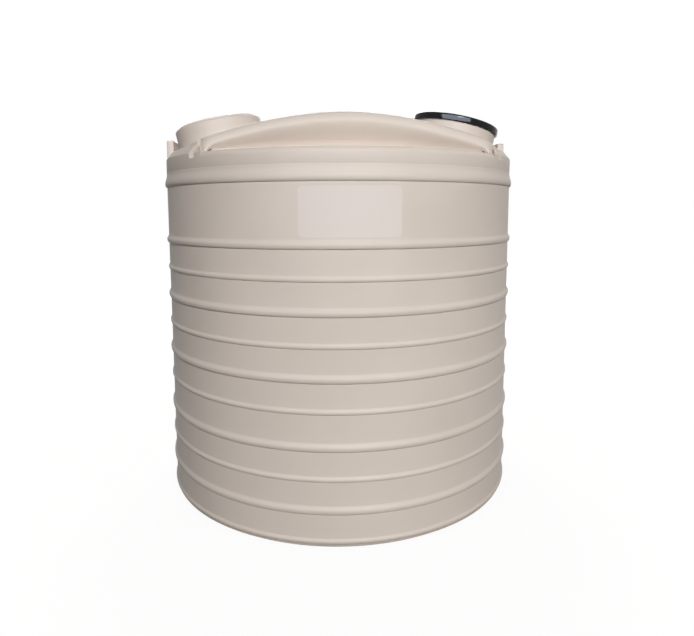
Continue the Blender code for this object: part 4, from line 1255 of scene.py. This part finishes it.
class TANK_OT_outlet(bpy.types.Operator):
    """Turn the brass outlet, its nut, the valve body, end cap and packing nut, with their threads"""
    bl_idname = "tank.outlet"
    bl_label = "Outlet and valve body"

    def execute(self, context):
        self.place = fitting_matrix(OUTLET_HEIGHT)
        self.centre = reach_of("valve_stem")[0] + STEM_RADIUS
        self.collar = OUTLET_TAIL_RADIUS + SOCKET_WALL
        self.make_tail()
        self.make_body()
        self.make_end_cap()
        self.make_packing_nut()
        return {"FINISHED"}

    def add(self, name, mesh, node, slot="brass"):
        piece(name, moved(mesh, self.place), slot, [node])

    def make_tail(self):
        tail = OUTLET_TAIL_RADIUS
        low, high = reach_of("outlet_back_nut")
        tube = flanged_tube(OUTLET_BORE, tail, OUTLET_FLANGE_RADIUS, *reach_of("outlet_tail"),
                            OUTLET_TAIL_EDGE)
        tube = thread(tube, "brass", tail, FINE_DEPTH, FINE_PITCH, high + GAP,
                      reach_of("valve_body")[0] - GAP)
        self.add("threaded_tail", tube, "outlet_tail")
        nut = hexagon_nut(2 * (tail + BACK_NUT_WALL), tail + GAP, low, high)
        self.add("outlet_nut", nut, "outlet_back_nut")
        ring = sleeve(tail + GAP, OUTLET_FLANGE_RADIUS, *reach_of("outlet_outer_seal"))
        self.add("outlet_seal", ring, "outlet_outer_seal", "black_rubber")

    def make_body(self):
        start, end = reach_of("valve_body")
        floor = start + SOCKET_DEPTH
        chamber = floor + SOCKET_SHOULDER
        shell = CHAMBER_RADIUS + VALVE_SHELL
        socket = OUTLET_TAIL_RADIUS + GAP
        section = [(socket, start), (self.collar, start), (self.collar, floor),
                   (shell, self.centre - BELLY_HALF_LENGTH), (shell, self.centre + BELLY_HALF_LENGTH),
                   (shell - BELLY_TAPER, end), (CHAMBER_RADIUS, end), (CHAMBER_RADIUS, chamber),
                   (OUTLET_BORE, chamber), (OUTLET_BORE, floor), (socket, floor)]
        up = Matrix.Translation((0, 0, self.centre)) @ Matrix.Rotation(math.radians(90), 4, "X")
        neck = cylinder(NECK_RADIUS, CHAMBER_RADIUS + SINK, NECK_HEIGHT)
        stem_bore = cylinder(STEM_RADIUS + GAP, STEM_RADIUS, NECK_HEIGHT + CUT)
        packing = cylinder(PACKING_RADIUS + GAP, NECK_HEIGHT - PACKING_DEPTH, NECK_HEIGHT + CUT)
        bar = hexagon_bar(2 * self.collar, start + HEXAGON_INSET, floor - HEXAGON_INSET)
        body = shaped(turned(eased(section, VALVE_BODY_EDGE), FITTING_SEGMENTS), ("UNION", bar),
                      ("DIFFERENCE", cylinder(socket, start - SINK, floor)), ("UNION", moved(neck, up)),
                      ("DIFFERENCE", moved(stem_bore, up)), ("DIFFERENCE", moved(packing, up)))
        self.add("brass_valve_body", body, "valve_body")

    def make_end_cap(self):
        tail = OUTLET_TAIL_RADIUS
        low, high = reach_of("valve_end_cap")
        shoulder = low + END_CAP_SPIGOT + GAP
        mouth = high - SOCKET_DEPTH
        spigot = CHAMBER_RADIUS - GAP
        section = [(OUTLET_BORE, low), (spigot, low), (spigot, shoulder), (self.collar, shoulder),
                   (self.collar, high), (tail, high), (tail, mouth), (OUTLET_BORE, mouth)]
        bar = hexagon_bar(2 * self.collar, shoulder + HEXAGON_INSET, high - HEXAGON_INSET)
        cap = shaped(turned(eased(section, END_CAP_EDGE), FITTING_SEGMENTS), ("UNION", bar),
                     ("DIFFERENCE", cylinder(OUTLET_BORE, low - CUT, high + CUT)),
                     ("DIFFERENCE", cylinder(tail, mouth, high + CUT)))
        cap = thread(cap, "brass", tail, THREAD_DEPTH, THREAD_PITCH, mouth + THREAD_PITCH,
                     high - THREAD_PITCH)
        self.add("brass_end_cap", cap, "valve_end_cap")

    def make_packing_nut(self):
        low, high = reach_of("packing_nut", 2)
        head = high - PACKING_NUT_HEAD
        nut = shaped(hexagon_bar(2 * (NECK_RADIUS - PACKING_NUT_SETBACK), head, high),
                     ("UNION", cylinder(PACKING_RADIUS, low, head + SINK)),
                     ("DIFFERENCE", cylinder(STEM_RADIUS + GAP, low - CUT, high + CUT)))
        piece("gland_nut", moved(nut, Matrix.Translation((0, self.centre, 0))), "brass", ["packing_nut"])


# Valve handle
BALL_STEPS = 36
TANG_THICKNESS = 0.0060
TANG_DEPTH = 0.0055
TANG_SETBACK = 0.0010
STEM_SQUARE = 0.0085
THREAD_RADIUS = 0.0036
STEM_THREAD_DEPTH = 0.00025
STEM_THREAD_PITCH = 0.0008
STEM_EDGE = 0.0008
LEVER_NUT_WALL = 0.0029
LEVER_WIDTH = 0.020
LEVER_SHEET = 0.003
LEVER_STEP = 0.014
LEVER_STEP_START = 0.026
LEVER_STEP_RUN = 0.018
LEVER_STATIONS = 90
LEVER_EDGE = 0.0006
GRIP_SHEET = 0.002
GRIP_STATIONS = 120
GRIP_WAVES = 7
GRIP_WAVE = 0.0004
GRIP_RUN_OUT = 8
GRIP_ROUNDING = 0.9
GRIP_END_SHARE = 0.5


def smooth(share):
    share = min(max(share, 0), 1)
    return share * share * (3 - 2 * share)


def round_ends(share, reach, radius):
    """Half width of a strip with round ends, at a share of its reach."""
    distance = min(min(share, 1 - share) * reach, radius)
    return math.sqrt(max(radius * radius - (radius - distance) ** 2, 0.0))


def flat_section(along, wide, low, high, edge, steps):
    """Section of a flat bar that runs along X, with its corners rounded."""
    outline = eased([(-wide, low), (wide, low), (wide, high), (-wide, high)], edge, steps=steps)
    return [Vector((along, across, height)) for across, height in outline]


class TANK_OT_handle(bpy.types.Operator):
    """Make what turns with the lever: the drilled ball, stem, lever, its nut and its vinyl grip"""
    bl_idname = "tank.handle"
    bl_label = "Valve handle"

    def execute(self, context):
        centre = reach_of("valve_stem")[0] + STEM_RADIUS
        self.place = Matrix.Translation((0, centre, OUTLET_HEIGHT))
        self.make_ball()
        low, high = (height - OUTLET_HEIGHT for height in reach_of("valve_lever", 2))
        high = low + LEVER_SHEET
        nut_top = reach_of("lever_nut", 2)[1] - OUTLET_HEIGHT
        self.make_stem(low, high, nut_top)
        self.make_lever(low)
        self.make_grip(low)
        nut = hexagon_nut(2 * (THREAD_RADIUS + LEVER_NUT_WALL), THREAD_RADIUS + GAP, high + GAP, nut_top)
        self.add("nut_on_lever", nut, "stainless", "lever_nut")
        return {"FINISHED"}

    def add(self, name, mesh, slot, node):
        piece(name, moved(mesh, self.place), slot, [node], TURNING_BODY)

    def make_ball(self):
        turns = [math.radians(180 * step / BALL_STEPS - 90) for step in range(1, BALL_STEPS)]
        outline = [(0, -BALL_RADIUS)]
        outline += [(BALL_RADIUS * math.cos(turn), BALL_RADIUS * math.sin(turn)) for turn in turns]
        outline.append((0, BALL_RADIUS))
        bore = moved(cylinder(OUTLET_BORE, -CUT, CUT), Matrix.Rotation(math.radians(90), 4, "Y"))
        half = TANG_THICKNESS / 2 + GAP
        slot = block((-BALL_RADIUS, -half, BALL_RADIUS - TANG_DEPTH), (BALL_RADIUS, half, BALL_RADIUS + CUT))
        ball = shaped(turned(outline, FITTING_SEGMENTS, closed=False), ("DIFFERENCE", bore),
                      ("DIFFERENCE", slot))
        self.add("drilled_ball", ball, "chrome_ball", "valve_ball")

    def make_stem(self, low, high, nut_top):
        wide = STEM_RADIUS - TANG_SETBACK
        half = TANG_THICKNESS / 2
        foot = BALL_RADIUS + GAP
        tang = block((-wide, -half, foot - TANG_DEPTH), (wide, half, foot + SINK))
        half = STEM_SQUARE / 2
        square = block((-half, -half, low - GAP - SINK), (half, half, high - SINK))
        outline = [(THREAD_RADIUS, high - 2 * SINK), (THREAD_RADIUS, nut_top + SINK), (0, nut_top + SINK)]
        end = turned(eased(outline, STEM_EDGE, closed=False), FITTING_SEGMENTS, closed=False)
        stem = shaped(cylinder(STEM_RADIUS, foot, low - GAP), ("UNION", tang), ("UNION", square),
                      ("UNION", end))
        stem = thread(stem, "stainless", THREAD_RADIUS, STEM_THREAD_DEPTH, STEM_THREAD_PITCH, high + GAP,
                      nut_top)
        self.add("threaded_stem", stem, "stainless", "valve_stem")

    def make_lever(self, low):
        heel, tip = reach_of("valve_lever", 0)
        half = LEVER_WIDTH / 2
        rings = []
        for step in range(LEVER_STATIONS + 1):
            share = 0.5 - 0.5 * math.cos(math.pi * step / LEVER_STATIONS)
            along = heel + (tip - heel) * share
            wide = max(round_ends(share, tip - heel, half), GAP)
            under = low + LEVER_STEP * smooth((along - LEVER_STEP_START) / LEVER_STEP_RUN)
            rings.append(flat_section(along, wide, under, under + LEVER_SHEET, min(LEVER_EDGE, wide / 2), 2))
        hole = STEM_SQUARE / 2 + GAP
        drive = block((-hole, -hole, low - CUT), (hole, hole, low + CUT))
        lever = shaped(loft(rings), ("DIFFERENCE", drive))
        self.add("pressed_lever", lever, "stainless", "valve_lever")

    def make_grip(self, low):
        half = LEVER_WIDTH / 2
        start, end = reach_of("lever_grip", 0)
        middle = low + LEVER_STEP + LEVER_SHEET / 2
        flat = LEVER_SHEET / 2 + GAP + GRIP_SHEET
        rings = []
        for step in range(GRIP_STATIONS + 1):
            share = step / GRIP_STATIONS
            along = start + (end - start) * share
            wave = GRIP_WAVE * (math.cos(math.tau * GRIP_WAVES * share) - 1)
            wave *= smooth(min(share, 1 - share) * GRIP_RUN_OUT)
            blunt = max(round_ends(share, end - start, flat) / flat, GRIP_END_SHARE)
            tall = (flat + wave) * blunt
            wide = half + GAP + GRIP_SHEET + wave - flat * (1 - blunt)
            rings.append(flat_section(along, wide, middle - tall, middle + tall, tall * GRIP_ROUNDING, 4))
        pocket = block((start - CUT, -half - GAP, middle - LEVER_SHEET / 2 - GAP),
                       (end - GRIP_SHEET, half + GAP, middle + LEVER_SHEET / 2 + GAP))
        self.add("vinyl_grip", shaped(loft(rings), ("DIFFERENCE", pocket)), "red_vinyl", "lever_grip")


# Overflow
OVERFLOW_BORE = 0.0415
OVERFLOW_NUT_WIDTH = 0.021
OVERFLOW_GRIPS = 24
OVERFLOW_GRIP = (0.0030, 0.0040)
OVERFLOW_PITCH = 0.0045
OVERFLOW_DEPTH = 0.0012
SCREEN_RIM = 0.0032
SCREEN_SHEET = 0.0015
SCREEN_WIRE = 0.00035
SCREEN_PITCH = 0.0026
OVERFLOW_TAIL_EDGE = 0.0012
OVERFLOW_NUT_EDGE = 0.0015
OVERFLOW_GRIP_EDGE = 0.001


class TANK_OT_overflow(bpy.types.Operator):
    """Mould the threaded overflow and its ribbed nut, and weave its insect screen"""
    bl_idname = "tank.overflow"
    bl_label = "Overflow and screen"

    def execute(self, context):
        form = context.scene.tank_form
        place = fitting_matrix(form.ledge_height - OVERFLOW_DROP)
        tail = OVERFLOW_TAIL_RADIUS
        low, high = reach_of("overflow_tail")
        tube = flanged_tube(OVERFLOW_BORE, tail, OVERFLOW_FLANGE_RADIUS, low, high, OVERFLOW_TAIL_EDGE)
        nut_low, nut_high = reach_of("overflow_nut")
        rim_low, rim_high = reach_of("overflow_screen")
        tube = thread(tube, "white_pvc", tail, OVERFLOW_DEPTH, OVERFLOW_PITCH, nut_high + OVERFLOW_DEPTH,
                      rim_low - OVERFLOW_DEPTH)
        piece("threaded_overflow", moved(tube, place), "white_pvc", ["overflow_tail"])

        deep, wide = OVERFLOW_GRIP
        outer = tail + GAP + OVERFLOW_NUT_WIDTH
        ring = sleeve(tail + GAP, outer - deep, nut_low, nut_high, OVERFLOW_NUT_EDGE)
        rib = rounded_block((-deep, -wide / 2, nut_low + SINK), (deep, wide / 2, nut_high - SINK),
                            OVERFLOW_GRIP_EDGE)
        ribs = grown(copies_round(), rib, "white_pvc", Count=OVERFLOW_GRIPS, Radius=outer - deep, Phase=0.0,
                     Spin=0.0, Seed=0)
        piece("ribbed_nut", moved(merged([ring, ribs]), place), "white_pvc", ["overflow_nut"])

        bore = tail + GAP
        face = high + GAP
        section = [(bore, rim_low), (bore + SCREEN_RIM, rim_low), (bore + SCREEN_RIM, rim_high),
                   (OVERFLOW_BORE, rim_high), (OVERFLOW_BORE, face), (bore, face)]
        rim = turned(eased(section, FINE_EDGE), FITTING_SEGMENTS)
        mesh = grown(wire_screen(), rim, "stainless", Wire=SCREEN_WIRE, Radius=OVERFLOW_BORE + SINK,
                     Pitch=SCREEN_PITCH, Height=face + SCREEN_SHEET / 2)
        piece("insect_screen", moved(mesh, place), "stainless", ["overflow_screen"])
        return {"FINISHED"}


class TANK_OT_finishes(bpy.types.Operator):
    """Give every CAD node that still shows its finish"""
    bl_idname = "tank.finishes"
    bl_label = "Finishes on the other parts"

    def execute(self, context):
        for row in frame["record"]["subparts"]:
            node = frame["nodes"][row["node"]]
            if not node.hide_render:
                node.data.materials.clear()
                node.data.materials.append(FINISHES[row["material_slot"]]())
        return {"FINISHED"}


# Studio
WHITE = (1.0, 1.0, 1.0)
FLOOR_RADIUS = 14.0
FLOOR_THICKNESS = 0.02
FLOOR_SEGMENTS = 96
FLOOR_GREY = 0.10
FLOOR_ROUGHNESS = 0.9
FLOOR_FADE = (1.1, 4.2)
FLOOR_GLOW = (0.92, 1.02)
PANEL_COLOUR = (1.0, 0.985, 0.965)
PANEL_AIM = (0.0, 0.0, 1.0)
KEY_PLACE = (1.0, -12.5, 6.9)
KEY_SIZE = (4.0, 3.0)
BACK_PLACE = (0.0, 7.6, 5.6)
BACK_SIZE = (6.0, 4.0)
STRIP_COLOUR = (0.78, 0.86, 1.0)
STRIP_PLACE = (-0.56, -5.67, 3.5)
STRIP_AIM = (0.64, 0.0, 1.95)
STRIP_SIZE = (8.7, 3.2)


def backdrop_share(graph):
    """1 for rays that see the backdrop itself: camera, glossy and transmission rays."""
    camera, glossy, through = (graph.node("ShaderNodeLightPath", output=f"Is {ray} Ray")
                               for ray in ("Camera", "Glossy", "Transmission"))
    return graph.math("MAXIMUM", graph.math("MAXIMUM", camera, glossy), through)


def soft_panel(name, place, aim, size, power, colour=PANEL_COLOUR):
    """An area lamp that faces a point."""
    lamp = bpy.data.lights.new(name, "AREA")
    lamp.shape = "RECTANGLE"
    lamp.size = size[0]
    lamp.size_y = size[1]
    lamp.energy = power
    lamp.color = colour
    holder = bpy.data.objects.new(name, lamp)
    holder.location = place
    holder.visible_camera = False
    holder.rotation_euler = (Vector(aim) - Vector(place)).to_track_quat("-Z", "Y").to_euler()
    bpy.context.scene.collection.objects.link(holder)
    return holder


class TANK_OT_studio(bpy.types.Operator):
    """Lay the pale floor, hang the soft panels and place the camera"""
    bl_idname = "tank.studio"
    bl_label = "Studio and camera"

    def execute(self, context):
        studio = context.scene.tank_studio
        self.lay_floor()
        self.fill_world(studio.ambient)
        self.hang_panels(studio)
        self.place_camera(studio)
        context.scene.view_settings.view_transform = "Standard"
        return {"FINISHED"}

    def lay_floor(self):
        disc = turned([(FLOOR_RADIUS, -FLOOR_THICKNESS), (FLOOR_RADIUS, 0.0)], FLOOR_SEGMENTS, closed=False)
        surface = Surface("pale_floor")
        away = surface.node("ShaderNodeVectorMath", {"operation": "LENGTH"}, {0: surface.place},
                            output="Value")
        glow = surface.step(away, *FLOOR_FADE, *FLOOR_GLOW)
        surface.set(Base_Color=rgba((FLOOR_GREY,) * 3), Roughness=FLOOR_ROUGHNESS, Specular_IOR_Level=0.0,
                    Emission_Color=rgba(WHITE), Emission_Strength=glow * backdrop_share(surface))
        disc.materials.append(surface.material)
        held("floor", disc)

    def fill_world(self, ambient):
        world = bpy.data.worlds.new("studio")
        bpy.context.scene.world = world
        world.use_nodes = True
        graph = Graph(world.node_tree)
        background = graph.tree.nodes["Background"]
        strength = graph.node("ShaderNodeMapRange",
                              inputs={"Value": backdrop_share(graph), "To Min": ambient})
        graph.feed(background.inputs["Color"], rgba(WHITE))
        graph.feed(background.inputs["Strength"], strength)

    def hang_panels(self, studio):
        soft_panel("key_panel", KEY_PLACE, PANEL_AIM, KEY_SIZE, studio.key_power)
        soft_panel("back_panel", BACK_PLACE, PANEL_AIM, BACK_SIZE, studio.back_power)
        strip = soft_panel("reflection_strip", STRIP_PLACE, STRIP_AIM, STRIP_SIZE, studio.strip_power,
                           STRIP_COLOUR)
        strip.visible_diffuse = False

    def place_camera(self, studio):
        camera = bpy.data.cameras.new("eye")
        camera.lens = studio.lens
        camera.shift_y = studio.rise
        holder = bpy.data.objects.new("eye", camera)
        plan = Matrix.Rotation(studio.eye_turn, 4, "Z")
        holder.location = plan @ Vector((0.0, -studio.eye_distance, studio.eye_height))
        aim = Matrix.Rotation(studio.eye_turn - studio.yaw, 4, "Z")
        aim = aim @ Matrix.Rotation(math.pi / 2 - studio.pitch, 4, "X")
        aim = aim @ Matrix.Rotation(-studio.roll, 4, "Z")
        holder.rotation_euler = aim.to_euler()
        bpy.context.scene.collection.objects.link(holder)
        bpy.context.scene.camera = holder


class TANK_PT_panel(bpy.types.Panel):
    """Sizes, colours and steps of the tank"""
    bl_idname = "TANK_PT_panel"
    bl_label = "Rainwater tank"
    bl_space_type = "VIEW_3D"
    bl_region_type = "UI"
    bl_category = "Tank"

    def draw(self, context):
        for step in STEPS:
            self.layout.operator(step.bl_idname)
        for group in (context.scene.tank_form, context.scene.tank_colours, context.scene.tank_studio):
            box = self.layout.box()
            for name in group.__annotations__:
                box.prop(group, name)


GROUPS = {"tank_form": TankForm, "tank_colours": TankColours, "tank_studio": TankStudio}
STEPS = (TANK_OT_shell, TANK_OT_ring, TANK_OT_basket, TANK_OT_lid, TANK_OT_outlet, TANK_OT_handle,
         TANK_OT_overflow, TANK_OT_finishes, TANK_OT_studio)
CLASSES = (*GROUPS.values(), *STEPS, TANK_PT_panel)


def register():
    for made in CLASSES:
        bpy.utils.register_class(made)
    for name, group in GROUPS.items():
        setattr(bpy.types.Scene, name, PointerProperty(type=group))


def unregister():
    for name in GROUPS:
        delattr(bpy.types.Scene, name)
    for made in reversed(CLASSES):
        bpy.utils.unregister_class(made)


def main():
    register()
    bpy.ops.tank.shell()
    bpy.ops.tank.ring()
    bpy.ops.tank.basket()
    bpy.ops.tank.lid()
    bpy.ops.tank.outlet()
    bpy.ops.tank.handle()
    bpy.ops.tank.overflow()
    bpy.ops.tank.finishes()
    bpy.ops.tank.studio()


if __name__ == "__main__":
    main()
